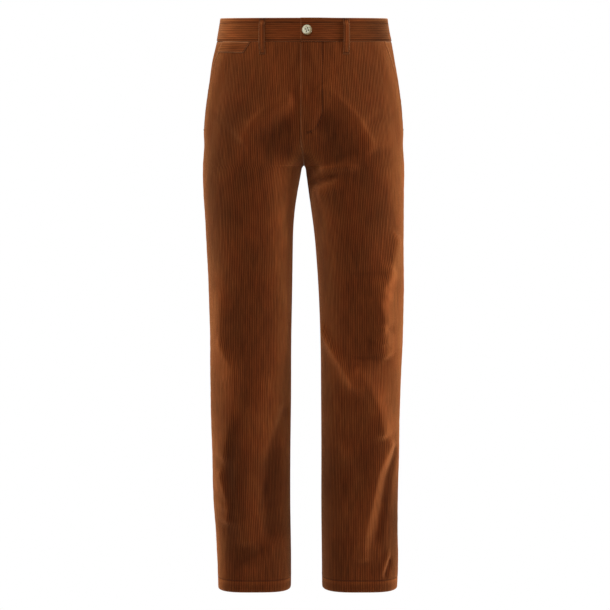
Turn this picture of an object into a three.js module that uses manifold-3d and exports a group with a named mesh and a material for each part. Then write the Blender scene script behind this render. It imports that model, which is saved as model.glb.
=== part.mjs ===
// Straight-leg corduroy trousers in the hollow shape that they have when worn.
// Millimetres. +X is the wearer's left, +Y the back and +Z up.
// The origin is the centre of the waist, level with the waistband's top edge at the side seams.
import * as THREE from 'three';
import { mergeVertices } from 'three/addons/utils/BufferGeometryUtils.js';
import Module from 'manifold-3d';

const wasm = await Module();
wasm.setup();

// Lengths from the waistband's top edge at the side seam
const HEM_Z = -1058;
const CROTCH_Z = -270.5;
const BAND_HEIGHT = 41.5;
const SEAM_GAP = 0.3;
const PANEL_TOP_Z = -BAND_HEIGHT - SEAM_GAP;

// Cloth
const CLOTH = 1.8;
const BAND_CLOTH = 3.2;
const BAND_LIFT = 1.0;
const HEM_TURN = 22;
const HEM_EXTRA = 1.5;
const WAIST_TILT = 0.075;
const WAIST_TILT_END_Z = -220;

// Fly: the wearer's left front laps over the right one
const FLY_EDGE_X = 6;
const FLY_UNDERLAP = 11;
const FLY_LIFT = 2.2;
const FLY_BOTTOM_Z = -222;
const FLY_WIDTH = 42;
const BAND_UNDERLAP = 20;
const BAND_LAP_LIFT = BAND_CLOTH + 0.4;

// Slanted side pockets
const POCKET_TOP_WIDTH = 48;
const POCKET_DEPTH = 168;
const POCKET_LIFT = 2.2;
const FACING_UNDERLAP = 12;
const POCKET_LIFT_FADE = 30;

// Coin pocket on the wearer's right front
const WELT_WIDTH = 65;
const WELT_HEIGHT = 20;
const WELT_CLOTH = 1.4;
const WELT_GAP = 0.6;

// Belt loops
const LOOP_WIDTH = 11.5;
const LOOP_CLOTH = 1.7;
const LOOP_BELOW_SEAM = 23.5;
const LOOP_STAND_OFF = 3.0;
const LOOP_TACK = 5;
const FRONT_LOOP_ACROSS = { [1]: 76, [-1]: 75 };
const BACK_LOOP_ACROSS = 104;

// Button
const BUTTON_RADIUS = 9;
const BUTTON_THICK = 3.4;
const BUTTON_ACROSS = 5.4;
const BUTTON_Z = -30;
const HOLE_RADIUS = 1.15;
const HOLE_SPREAD = 3.0;
const HOLE_TURN = -0.38;

// Mesh density
const TORSO_ROWS = 14;
const LEG_ROWS = 31;
const FRONT_COLUMNS = 17;
const BACK_COLUMNS = 15;
const SLACK_END_Z = -185;
const BAND_COLUMNS = 28;

const LEFT = 1;
const RIGHT = -1;

function namedRows(columns, rows) {
  return rows.map((row) => Object.fromEntries(row.map((value, i) => [columns[i], value])));
}

// Half widths and depths of the garment's sections, from the waist down.
// corner is the power of the section's oval: 2 is an ellipse, and more is squarer.
// sideForward is how far the side seam lies in front of the widest point.
const SECTIONS = namedRows(
  ['z', 'rightOuter', 'leftOuter', 'front', 'back', 'corner', 'sideForward'],
  [
    [10, 152, 152, 110, 111, 2.15, 4],
    [0, 153, 153, 110, 112, 2.15, 4],
    [-25, 157, 156.8, 111.5, 115, 2.15, 4],
    [-45, 160.8, 161.3, 112, 118, 2.15, 5],
    [-80, 169, 167.5, 113, 127, 2.2, 6],
    [-125, 175.2, 175.2, 113, 136, 2.2, 8],
    [-175, 180.2, 179.4, 110, 141, 2.25, 9],
    [-225, 183, 182.6, 104.5, 138, 2.3, 10],
    [-274, 186.2, 185.3, 99.5, 127, 2.3, 12],
    [-320, 185.5, 185.2, 98, 114, 2.3, 13],
    [-385, 182.4, 185, 95, 98, 2.3, 13],
    [-500, 177.5, 185.5, 87, 84, 2.3, 13],
    [-600, 175, 183, 80, 77, 2.3, 12],
    [-700, 174, 180, 73, 77, 2.3, 12],
    [-800, 172, 178.5, 68, 78, 2.35, 12],
    [-900, 169.4, 176, 65, 76, 2.4, 11],
    [-950, 165.4, 175.8, 64, 75, 2.5, 10],
    [-1000, 163.4, 176.2, 65, 73, 2.7, 10],
    [HEM_Z, 161, 174.8, 66, 71, 3.2, 10],
  ],
);

// Where the inner side of each leg lies, measured from the middle
const LEG_GAP = namedRows(
  ['z', 'rightInner', 'leftInner', 'inseamForward'],
  [
    [CROTCH_Z, 0.8, 0.8, 0],
    [-274, 3.6, 2.7, 0.4],
    [-280, 5, 3.7, 1.2],
    [-300, 8.6, 6.4, 6],
    [-320, 12.3, 9.1, 10],
    [-350, 16.8, 13.3, 12],
    [-385, 19.8, 18, 12],
    [-420, 20.8, 21.6, 12],
    [-500, 22, 27.2, 12],
    [-600, 23.8, 31, 12],
    [-700, 24.2, 32, 12],
    [-800, 25.5, 32.6, 11],
    [-900, 25.8, 32.6, 10],
    [-1000, 24.4, 33.6, 10],
    [HEM_Z, 24.5, 34.2, 10],
  ],
);

// The main creases of the cloth. across is the distance along the cloth from the front crease line,
// outwards, so the outer side is near 115 and the back near 230. A ridge has a height above 0.
// leftWidth and rightWidth are how far it spreads to each side of its line, looking along it with
// across to the right and z up. power is 2 for a round crease, and less for a sharp one. Each fades in
// and out about its end points, so rows that share one make a single bent crease.
const CREASE_START = 9;
const CREASE_FADE = 20;
const FOLDS = namedRows(
  ['side', 'across0', 'z0', 'across1', 'z1', 'leftWidth', 'rightWidth', 'height', 'power'],
  [
    // Wearer's left: knee folds
    [LEFT, -96, -564, -43, -624, 9, 11, 6, 1.7],
    [LEFT, -43, -624, -10, -678, 9, 11, 6, 1.7],
    [LEFT, -8, -643, 28, -708, 22, 16, 12, 1.5],
    [LEFT, 28, -708, 39, -768, 22, 16, 12, 1.5],
    [LEFT, -18, -622, 46, -620, 5, 8, -4, 2],
    // Wearer's left: folds along the outer side
    [LEFT, 76, -398, 55, -456, 22, 14, 6, 1.6],
    [LEFT, 55, -456, 29, -505, 20, 16, 10, 1.6],
    [LEFT, 29, -505, 38, -566, 20, 16, 11, 1.6],
    [LEFT, 38, -566, 28, -590, 20, 14, 10, 1.6],
    [LEFT, 28, -590, 44, -622, 20, 12, 8, 1.6],
    // Wearer's left: long fold down the shin and the dip beside it
    [LEFT, 60, -776, 32, -829, 9, 18, 6, 1.8],
    [LEFT, 32, -829, 21, -885, 9, 18, 7, 1.8],
    [LEFT, 21, -885, 5, -965, 9, 18, 7, 1.8],
    [LEFT, 5, -965, 7, -998, 9, 18, 7, 1.8],
    [LEFT, 84, -790, 54, -838, 10, 10, -5, 2],
    [LEFT, 54, -838, 44, -892, 10, 10, -5, 2],
    [LEFT, 44, -892, 28, -968, 10, 10, -5, 2],
    // Wearer's left: short pulls below the crotch
    [LEFT, -66, -276, 0, -272, 7, 8, 4.5, 2],
    [LEFT, -107, -306, -35, -290, 6, 6, -5, 2],
    [LEFT, -82, -322, -31, -302, 8, 10, 4.5, 2],
    // Wearer's left: the pull from the fly to the hip, with a hollow below it
    [LEFT, -56, -128, -16, -168, 34, 16, 6, 1.8],
    [LEFT, -16, -168, 14, -203, 34, 16, 6, 1.8],
    [LEFT, 14, -203, 29, -246, 34, 16, 6, 1.8],
    [LEFT, -66, -182, -30, -215, 26, 30, -5, 2],
    [LEFT, -30, -215, -14, -258, 26, 30, -5, 2],
    // Wearer's right: long soft fold down the shin and the dip beside it
    [RIGHT, -30, -662, 6, -763, 20, 22, 5, 1.8],
    [RIGHT, 6, -763, 24, -844, 16, 22, 6, 1.8],
    [RIGHT, 24, -844, 18, -922, 16, 22, 6, 1.8],
    [RIGHT, 18, -922, 12, -968, 16, 22, 6, 1.8],
    [RIGHT, -82, -712, -38, -794, 15, 26, -5, 2],
    [RIGHT, -38, -794, -28, -888, 15, 30, -7, 2],
    [RIGHT, -28, -888, -34, -960, 15, 30, -7, 2],
    // Wearer's right: folds along the outer side
    [RIGHT, 54, -500, 58, -590, 20, 14, 4, 1.6],
    [RIGHT, 58, -590, 23, -652, 24, 12, 8, 1.4],
    [RIGHT, 23, -652, 34, -736, 24, 12, 8, 1.4],
    [RIGHT, 34, -736, 51, -812, 22, 12, 7, 1.4],
    [RIGHT, 60, -834, 40, -895, 22, 12, 7, 1.4],
    [RIGHT, 40, -895, 46, -930, 22, 12, 7, 1.4],
    // Wearer's right: the pull from the fly to the hip, with a hollow below it, and the inner thigh
    [RIGHT, 22, -226, -15, -187, 18, 30, 7, 1.8],
    [RIGHT, -15, -187, -66, -148, 18, 30, 7, 1.8],
    [RIGHT, -10, -246, -76, -188, 32, 22, -4.5, 2],
    [RIGHT, -2, -232, -30, -305, 30, 30, 4, 2],
    [RIGHT, -30, -305, -46, -378, 30, 32, 3.5, 2],
    [RIGHT, -46, -378, -52, -520, 30, 34, 2.5, 2],
    // Both backs: pulls under the seat, creases behind the knee and drape to the hem
    [LEFT, 308, -299, 246, -338, 12, 12, 4.5, 2],
    [RIGHT, 306, -306, 242, -346, 12, 12, 4.3, 2],
    [LEFT, 296, -337, 236, -381, 11, 11, -4, 2],
    [RIGHT, 300, -345, 240, -385, 12, 12, -4.2, 2],
    [LEFT, 207, -615, 275, -631, 9, 9, -5.5, 2],
    [RIGHT, 194, -607, 264, -625, 9, 9, -5, 2],
    [LEFT, 216, -652, 288, -662, 10, 10, 5, 1.6],
    [RIGHT, 202, -650, 278, -665, 10, 10, 4.8, 1.6],
    [LEFT, 188, -688, 256, -678, 10, 10, -4.4, 2],
    [RIGHT, 210, -698, 274, -686, 10, 10, -4.4, 2],
    [LEFT, 242, -770, 218, -955, 14, 22, 7, 1.6],
    [RIGHT, 236, -790, 258, -970, 22, 14, 6.6, 1.6],
    [LEFT, 202, -828, 180, -992, 14, 14, -4.6, 2],
    [RIGHT, 279, -818, 297, -982, 14, 14, -4.4, 2],
  ],
);

function smooth(t) {
  const c = Math.min(1, Math.max(0, t));
  return c * c * (3 - 2 * c);
}

// A table's column at level z, on a smooth curve through its rows
function tableValue(rows, column, z) {
  const last = rows.length - 1;
  if (z >= rows[0].z) return rows[0][column];
  if (z <= rows[last].z) return rows[last][column];
  let i = 0;
  while (rows[i + 1].z > z) i += 1;
  const slope = (k) => {
    const above = rows[Math.max(0, k - 1)];
    const below = rows[Math.min(last, k + 1)];
    return (below[column] - above[column]) / (below.z - above.z);
  };
  const span = rows[i + 1].z - rows[i].z;
  const t = (z - rows[i].z) / span;
  const t2 = t * t;
  const t3 = t2 * t;
  return (2 * t3 - 3 * t2 + 1) * rows[i][column] + (t3 - 2 * t2 + t) * span * slope(i)
    + (3 * t2 - 2 * t3) * rows[i + 1][column] + (t3 - t2) * span * slope(i + 1);
}

const CROTCH_FRONT_RISE = 80;
const CROTCH_BACK_RISE = 112;
const CROTCH_POWER = 2.4;
const CROTCH_CENTRE = 0.5 * (tableValue(SECTIONS, 'rightOuter', CROTCH_Z)
  + tableValue(LEG_GAP, 'rightInner', CROTCH_Z));
const WAIST_GRAIN_X = 84;

// How far the crotch seam has risen from its lowest point to the full front or back, from 0 to 1
function crotchRise(z, rise) {
  const t = Math.min(1, (z - CROTCH_Z) / rise);
  return (1 - (1 - t) ** CROTCH_POWER) ** (1 / CROTCH_POWER);
}

// One half's section: the sizes of its oval at level z
function sizesAt(side, z) {
  const outer = tableValue(SECTIONS, side === LEFT ? 'leftOuter' : 'rightOuter', z);
  const open = z > CROTCH_Z;
  const inner = open ? 0 : tableValue(LEG_GAP, side === LEFT ? 'leftInner' : 'rightInner', z);
  const share = Math.max(0, Math.min(1, (-BAND_HEIGHT - z) / (-BAND_HEIGHT - CROTCH_Z)));
  const centre = open ? 0.4 + (CROTCH_CENTRE - 0.4) * share ** 1.5 : (outer + inner) / 2;
  return {
    open,
    outer,
    inner,
    centre,
    front: tableValue(SECTIONS, 'front', z),
    back: tableValue(SECTIONS, 'back', z),
    corner: tableValue(SECTIONS, 'corner', z),
  };
}

const QUARTER_STEPS = 28;

// The points of a quarter of an oval, from its end on the x axis (share 1) to its end on the y axis
function quarter(centre, reach, depth, corner, mostShare) {
  const most = Math.asin(Math.min(1, mostShare) ** (corner / 2));
  return Array.from({ length: QUARTER_STEPS + 1 }, (_, i) => {
    const angle = most * smooth(1 - i / QUARTER_STEPS);
    const across = Math.sin(angle) ** (2 / corner);
    return [centre + reach * across, depth * Math.cos(angle) ** (2 / corner)];
  });
}

// One half's section at level z as a line with lengths along it. Above the crotch it runs from the
// middle of the front round the side to the middle of the back. Below, it is a closed ring that
// starts and ends at the inner side of the leg.
const loops = new Map();
function loopAt(side, z) {
  const key = side * 1e6 + z;
  if (loops.has(key)) return loops.get(key);
  const { open, outer, inner, centre, front, back, corner } = sizesAt(side, z);
  const innerQuarter = (depth, rise) => {
    if (!open) return quarter(centre, inner - centre, depth, corner, 1);
    const share = Math.max(0.02, (1 - crotchRise(z, rise) ** corner) ** (1 / corner));
    return quarter(centre, -centre / share, depth, corner, share);
  };
  const points = [
    ...innerQuarter(-front, CROTCH_FRONT_RISE),
    ...quarter(centre, outer - centre, -front, corner, 1).reverse(),
    ...quarter(centre, outer - centre, back, corner, 1),
    ...innerQuarter(back, CROTCH_BACK_RISE).reverse(),
  ];
  const lengths = [0];
  for (let i = 1; i < points.length; i += 1) {
    lengths.push(lengths[i - 1] + Math.hypot(points[i][0] - points[i - 1][0], points[i][1] - points[i - 1][1]));
  }
  const marks = { frontCentre: QUARTER_STEPS, outerSide: 2 * QUARTER_STEPS + 1 };
  const loop = {
    open,
    points,
    lengths,
    total: lengths[lengths.length - 1],
    side: lengths[marks.outerSide] - tableValue(SECTIONS, 'sideForward', z),
    frontCentre: lengths[marks.frontCentre],
  };
  loops.set(key, loop);
  return loop;
}

function alongLoop(loop, distance) {
  let d = distance;
  if (!loop.open) d = ((d % loop.total) + loop.total) % loop.total;
  d = Math.min(loop.total, Math.max(0, d));
  let low = 0;
  let high = loop.lengths.length - 1;
  while (high - low > 1) {
    const middle = (low + high) >> 1;
    if (loop.lengths[middle] <= d) low = middle;
    else high = middle;
  }
  const span = loop.lengths[high] - loop.lengths[low];
  const t = span > 1e-9 ? (d - loop.lengths[low]) / span : 0;
  return loop.points[low].map((value, i) => value + t * (loop.points[high][i] - value));
}

// A point of the cloth's own surface, without creases. distance runs along the section from its start.
// Above the crotch a distance past either end goes on across the middle, onto the other half.
function basePoint(side, z, distance) {
  const loop = loopAt(side, z);
  const other = loopAt(-side, z);
  const beyond = distance - loop.total;
  const crossed = loop.open && (distance < 0 || beyond > 0);
  const onOther = distance < 0 ? -distance : other.total - beyond;
  const [out, y] = crossed ? alongLoop(other, onOther) : alongLoop(loop, distance);
  const tilt = WAIST_TILT * smooth((z - WAIST_TILT_END_Z) / (-BAND_HEIGHT - WAIST_TILT_END_Z));
  return new THREE.Vector3((crossed ? -side : side) * out, y, z + tilt * y);
}

const NORMAL_STEP = 2;

// The outward direction there. Above the crotch it is taken within the half that the piece covers.
function baseNormal(side, z, distance, first, last) {
  const held = (level, d) => {
    const loop = loopAt(side, level);
    if (!loop.open) return d;
    return Math.min(Math.max(last(level), loop.total), Math.max(Math.min(0, first(level)), d));
  };
  const along = basePoint(side, z, held(z, distance + NORMAL_STEP))
    .sub(basePoint(side, z, held(z, distance - NORMAL_STEP)));
  const shift = (level) => distance - loopAt(side, z).side + loopAt(side, level).side;
  const up = basePoint(side, z + NORMAL_STEP, held(z + NORMAL_STEP, shift(z + NORMAL_STEP)))
    .sub(basePoint(side, z - NORMAL_STEP, held(z - NORMAL_STEP, shift(z - NORMAL_STEP))));
  return along.cross(up).multiplyScalar(side).normalize();
}

// The distance along the section of the front crease line, from which creases are placed
function grainAt(side, z) {
  const loop = loopAt(side, z);
  if (!loop.open) return loop.frontCentre;
  const share = (z - CROTCH_Z) / (-BAND_HEIGHT - CROTCH_Z);
  const grainX = CROTCH_CENTRE + (WAIST_GRAIN_X - CROTCH_CENTRE) * Math.min(1, share);
  let i = 0;
  while (loop.points[i + 1][0] < grainX) i += 1;
  const t = (grainX - loop.points[i][0]) / (loop.points[i + 1][0] - loop.points[i][0]);
  return loop.lengths[i] + t * (loop.lengths[i + 1] - loop.lengths[i]);
}

function creaseHeight(fold, across, z) {
  const run = [fold.across1 - fold.across0, fold.z1 - fold.z0];
  const squared = run[0] ** 2 + run[1] ** 2;
  const from = [across - fold.across0, z - fold.z0];
  const t = (from[0] * run[0] + from[1] * run[1]) / squared;
  if (t <= -1 / 6 || t >= 7 / 6) return 0;
  const off = (from[1] * run[0] - from[0] * run[1]) / Math.sqrt(squared);
  const spread = Math.abs(off) / (off > 0 ? fold.leftWidth : fold.rightWidth);
  return fold.height * smooth(3 * t + 0.5) * smooth(3.5 - 3 * t) * Math.exp(-(spread ** fold.power));
}

// All creases together, which fade out at the middle seams and the inseam
function creases(side, z, distance) {
  const across = distance - grainAt(side, z);
  const loop = loopAt(side, z);
  let height = 0;
  FOLDS.filter((fold) => fold.side === side).forEach((fold) => {
    height += creaseHeight(fold, across, z);
    if (!loop.open) {
      height += creaseHeight(fold, across - loop.total, z);
      height += creaseHeight(fold, across + loop.total, z);
    }
  });
  const inside = Math.min(distance, loop.total - distance);
  return height * smooth((inside - CREASE_START) / CREASE_FADE);
}

function hemThickness(z) {
  return CLOTH + HEM_EXTRA * smooth((HEM_Z + HEM_TURN - z) / 3);
}

// A closed wall from a grid of points on its outside and the matching grid on its inside
function wall(outer, inner) {
  const rows = outer.length;
  const columns = outer[0].length;
  const at = (layer, r, c) => (layer * rows + r) * columns + c;
  const index = [];
  const points = [...outer.flat(), ...inner.flat()];
  const apart = (a, b) => points[a].distanceToSquared(points[b]);
  const quad = (a, b, c, d) => {
    if (apart(a, c) <= apart(b, d)) index.push(a, b, c, a, c, d);
    else index.push(b, c, d, b, d, a);
  };
  for (let r = 0; r < rows - 1; r += 1) {
    for (let c = 0; c < columns - 1; c += 1) {
      quad(at(0, r, c), at(0, r + 1, c), at(0, r + 1, c + 1), at(0, r, c + 1));
      quad(at(1, r, c), at(1, r, c + 1), at(1, r + 1, c + 1), at(1, r + 1, c));
    }
    quad(at(0, r, 0), at(1, r, 0), at(1, r + 1, 0), at(0, r + 1, 0));
    quad(at(0, r, columns - 1), at(0, r + 1, columns - 1), at(1, r + 1, columns - 1), at(1, r, columns - 1));
  }
  for (let c = 0; c < columns - 1; c += 1) {
    quad(at(0, 0, c), at(0, 0, c + 1), at(1, 0, c + 1), at(1, 0, c));
    quad(at(0, rows - 1, c), at(1, rows - 1, c), at(1, rows - 1, c + 1), at(0, rows - 1, c + 1));
  }
  let volume = 0;
  for (let i = 0; i < index.length; i += 3) {
    const [a, b, c] = [points[index[i]], points[index[i + 1]], points[index[i + 2]]];
    volume += a.dot(b.clone().cross(c));
  }
  if (volume < 0) index.reverse();
  return new THREE.BufferGeometry().setFromPoints(points).setIndex(index);
}

// How much shorter a section is than the ring at the crotch, from the side seam to the middle.
// It fades out upwards, so columns near the crotch keep their distance from the side seam.
function crotchSlack(side, z, onBack) {
  if (z <= CROTCH_Z) return 0;
  const reach = (loop) => (onBack ? loop.total - loop.side : loop.side);
  const shorter = reach(loopAt(side, CROTCH_Z)) - reach(loopAt(side, z));
  return shorter * smooth((SLACK_END_Z - z) / (SLACK_END_Z - CROTCH_Z));
}

// A piece of cloth between two lines down the garment. first, last and lift are functions of the level.
// crowd above 1 places the columns closer together towards the seam line, which is first or last.
function clothPiece({
  side, levels, columns, first, last, lift, thickness, crowd = 1, slack = () => 0, seamIsLast = true,
}) {
  const outer = [];
  const inner = [];
  levels.forEach((z) => {
    const outerRow = [];
    const innerRow = [];
    for (let c = 0; c <= columns; c += 1) {
      const share = seamIsLast ? 1 - c / columns : c / columns;
      const reach = last(z) - first(z) + slack(z);
      const fromSeam = reach * share ** crowd - slack(z) * share ** 4;
      const distance = seamIsLast ? last(z) - fromSeam : first(z) + fromSeam;
      const base = basePoint(side, z, distance);
      const normal = baseNormal(side, z, distance, first, last);
      const out = lift(z, distance) + creases(side, z, distance);
      outerRow.push(base.clone().addScaledVector(normal, out));
      innerRow.push(base.clone().addScaledVector(normal, out - thickness(z)));
    }
    outer.push(outerRow);
    inner.push(innerRow);
  });
  return wall(outer, inner);
}

const HALF_GAP = SEAM_GAP / 2;
const seamShare = (z) => smooth((FLY_BOTTOM_Z - z) / (FLY_BOTTOM_Z - CROTCH_Z - 4));
const flyEdge = (z) => FLY_EDGE_X * (1 - seamShare(z));

// Where the left and right fronts begin at a level, as distances along their own sections
function frontStart(side, z) {
  if (z <= CROTCH_Z) return tableValue(LEG_GAP, 'inseamForward', z) + HALF_GAP;
  if (side === LEFT) return -flyEdge(z) + HALF_GAP;
  const butted = flyEdge(z) + HALF_GAP;
  const lapped = smooth((z - FLY_BOTTOM_Z + 14) / 30);
  return butted + (-FLY_UNDERLAP - butted) * lapped;
}

function backEnd(side, z) {
  const loop = loopAt(side, z);
  if (z > CROTCH_Z) return loop.total - HALF_GAP;
  return loop.total + tableValue(LEG_GAP, 'inseamForward', z) - HALF_GAP;
}

const pocketWidth = (z) => POCKET_TOP_WIDTH * Math.max(0, 1 - (PANEL_TOP_Z - z) / POCKET_DEPTH) ** 1.5;
const pocketEdge = (side, z) => loopAt(side, z).side - pocketWidth(z) - HALF_GAP;
const POCKET_END_Z = PANEL_TOP_Z - POCKET_DEPTH;

// How far a front stands out of its plain surface, where it laps over another piece
function frontLift(side, z, distance) {
  const alongPocket = smooth((z - POCKET_END_Z + 24) / 24);
  const fromPocket = pocketEdge(side, z) - distance;
  const pocket = POCKET_LIFT * alongPocket * (1 - smooth((fromPocket - FACING_UNDERLAP - 14) / POCKET_LIFT_FADE));
  if (side === RIGHT) return pocket;
  const alongFly = smooth((z - FLY_BOTTOM_Z + 40) / 24);
  const fly = FLY_LIFT * alongFly * (1 - smooth((distance - FLY_UNDERLAP - 2) / (FLY_WIDTH - FLY_UNDERLAP)));
  return pocket + fly;
}

// Levels from the waistband seam to the hem, closest together at the crotch
function panelLevels() {
  const torso = Array.from({ length: TORSO_ROWS }, (_, i) => (
    PANEL_TOP_Z + (CROTCH_Z - PANEL_TOP_Z) * Math.sin((Math.PI / 2) * (i / TORSO_ROWS))));
  const legTop = HEM_Z + HEM_TURN + 4;
  const leg = Array.from({ length: LEG_ROWS + 1 }, (_, i) => (
    CROTCH_Z + (legTop - CROTCH_Z) * (i / LEG_ROWS) ** 1.3));
  return [...torso, ...leg, HEM_Z + HEM_TURN - 3, HEM_Z];
}

function spread(from, to, steps) {
  return Array.from({ length: steps + 1 }, (_, i) => from + ((to - from) * i) / steps);
}

function frontPanel(side) {
  return clothPiece({
    side,
    levels: panelLevels(),
    columns: FRONT_COLUMNS,
    first: (z) => frontStart(side, z),
    last: (z) => pocketEdge(side, z),
    lift: (z, distance) => frontLift(side, z, distance),
    thickness: hemThickness,
    crowd: 1.25,
    slack: (z) => crotchSlack(side, z, false),
  });
}

function backPanel(side) {
  return clothPiece({
    side,
    levels: panelLevels(),
    columns: BACK_COLUMNS,
    first: (z) => loopAt(side, z).side + HALF_GAP,
    last: (z) => backEnd(side, z),
    lift: () => 0,
    thickness: hemThickness,
    slack: (z) => crotchSlack(side, z, true),
    seamIsLast: false,
  });
}

function pocketFacing(side) {
  return clothPiece({
    side,
    levels: spread(PANEL_TOP_Z, POCKET_END_Z + 8, 11),
    columns: 7,
    first: (z) => pocketEdge(side, z) - FACING_UNDERLAP,
    last: (z) => loopAt(side, z).side - HALF_GAP,
    lift: () => 0,
    thickness: () => CLOTH,
  });
}

// Lift of a waistband half, with the left end raised over the right one at the front
function bandLift(side, distance) {
  if (side === RIGHT) return BAND_LIFT;
  return BAND_LIFT + BAND_LAP_LIFT * (1 - smooth((distance - BAND_UNDERLAP - 3) / 38));
}

function waistband(side) {
  return clothPiece({
    side,
    levels: [0, -BAND_HEIGHT / 2, -BAND_HEIGHT],
    columns: BAND_COLUMNS,
    first: () => (side === LEFT ? -FLY_EDGE_X : -BAND_UNDERLAP),
    last: (z) => loopAt(side, z).total - HALF_GAP,
    lift: (z, distance) => bandLift(side, distance),
    thickness: () => BAND_CLOTH,
  });
}

function coinPocketWelt() {
  const side = RIGHT;
  const top = PANEL_TOP_Z - 1;
  const surface = (z, distance) => frontLift(side, z, distance);
  return clothPiece({
    side,
    levels: spread(top, top - WELT_HEIGHT, 2),
    columns: 8,
    first: (z) => pocketEdge(side, z) - WELT_WIDTH - 2,
    last: (z) => pocketEdge(side, z) - 2,
    lift: (z, distance) => surface(z, distance) + WELT_GAP + WELT_CLOTH,
    thickness: () => WELT_CLOTH,
  });
}

// A belt loop: tacked at the waistband's top edge and below its seam, and standing off between
function beltLoop(side, middle, panelLift) {
  const top = -0.6;
  const bottom = -BAND_HEIGHT - LOOP_BELOW_SEAM;
  const levels = [
    ...spread(top, top - LOOP_TACK, 1),
    ...spread(top - LOOP_TACK - 6, bottom + LOOP_TACK + 6, 6),
    ...spread(bottom + LOOP_TACK, bottom, 1),
  ];
  const standOff = (z) => LOOP_STAND_OFF
    * smooth((top - LOOP_TACK - z) / 9) * smooth((z - bottom - LOOP_TACK) / 11);
  const under = (z, distance) => {
    const onPanel = smooth((PANEL_TOP_Z + 2 - z) / 9);
    return BAND_LIFT + (panelLift(z, distance) - BAND_LIFT) * onPanel;
  };
  return clothPiece({
    side,
    levels,
    columns: 2,
    first: (z) => middle(z) - LOOP_WIDTH / 2,
    last: (z) => middle(z) + LOOP_WIDTH / 2,
    lift: (z, distance) => under(z, distance) + SEAM_GAP + standOff(z) + LOOP_CLOTH,
    thickness: () => LOOP_CLOTH,
  });
}

function solidOf(geometry) {
  const bare = new THREE.BufferGeometry();
  bare.setAttribute('position', geometry.getAttribute('position'));
  bare.setIndex(geometry.index);
  const merged = mergeVertices(bare, 1e-4);
  return new wasm.Manifold(new wasm.Mesh({
    numProp: 3,
    vertProperties: merged.attributes.position.array,
    triVerts: new Uint32Array(merged.index.array),
  }));
}

function geometryOf(solid) {
  const { vertProperties, triVerts } = solid.getMesh();
  return new THREE.BufferGeometry()
    .setAttribute('position', new THREE.BufferAttribute(vertProperties, 3))
    .setIndex(new THREE.BufferAttribute(triVerts, 1));
}

// A four-hole button with a raised rim, made along +Z
function buttonGeometry() {
  const rim = BUTTON_RADIUS;
  const profile = [
    [0, 0], [rim - 1.4, 0], [rim - 0.3, 0.7], [rim, 1.6], [rim - 0.3, 2.6], [rim - 1.3, BUTTON_THICK],
    [rim - 2.4, BUTTON_THICK - 0.1], [rim - 3.6, BUTTON_THICK - 1.0], [0, BUTTON_THICK - 1.1],
  ].map(([r, h]) => new THREE.Vector2(r, h));
  const disc = new THREE.LatheGeometry(profile, 36).rotateX(Math.PI / 2);
  let solid = solidOf(disc);
  if (solid.volume() < 0) throw new Error('the button is inside out');
  for (let i = 0; i < 4; i += 1) {
    const angle = HOLE_TURN + (i * Math.PI) / 2;
    const hole = new THREE.CylinderGeometry(HOLE_RADIUS, HOLE_RADIUS, BUTTON_THICK * 3, 12)
      .rotateX(Math.PI / 2)
      .translate(HOLE_SPREAD * Math.cos(angle), HOLE_SPREAD * Math.sin(angle), 0);
    solid = solid.subtract(solidOf(hole));
  }
  return geometryOf(solid);
}

const corduroy = new THREE.MeshStandardMaterial({ color: 0x6b3a1e, roughness: 0.95, metalness: 0 });
const horn = new THREE.MeshStandardMaterial({ color: 0xa8a17c, roughness: 0.35, metalness: 0 });

const trousers = new THREE.Group();

function add(name, geometry, material) {
  const mesh = new THREE.Mesh(geometry, material.clone());
  mesh.name = name;
  trousers.add(mesh);
  return mesh;
}

[[LEFT, 'left'], [RIGHT, 'right']].forEach(([side, word]) => {
  add(`front_${word}`, frontPanel(side), corduroy);
  add(`back_${word}`, backPanel(side), corduroy);
  add(`pocket_facing_${word}`, pocketFacing(side), corduroy);
  add(`waistband_${word}`, waistband(side), corduroy);
  const onFront = (z, distance) => frontLift(side, z, distance);
  add(`belt_loop_front_${word}`, beltLoop(side, () => FRONT_LOOP_ACROSS[side], onFront), corduroy);
  const backMiddle = (z) => loopAt(side, z).total - BACK_LOOP_ACROSS;
  add(`belt_loop_back_${word}`, beltLoop(side, backMiddle, () => 0), corduroy);
});
add('belt_loop_back_centre', beltLoop(LEFT, (z) => loopAt(LEFT, z).total, () => 0), corduroy);
add('coin_pocket_welt', coinPocketWelt(), corduroy);

// The button lies flat on the lapped end of the waistband
const buttonSeat = -sizesAt(LEFT, BUTTON_Z + WAIST_TILT * 110).front - BAND_LIFT - BAND_LAP_LIFT - 0.4;
add('button', buttonGeometry().rotateX(Math.PI / 2).translate(BUTTON_ACROSS, buttonSeat, BUTTON_Z), horn);

export default trousers;
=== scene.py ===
"""Straight-leg corduroy trousers in their worn, hollow shape, with raised ribs, seams and stitching."""

import math
from dataclasses import dataclass, field

import bmesh
import bpy
import numpy as np
from mathutils import Matrix, Vector


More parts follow.
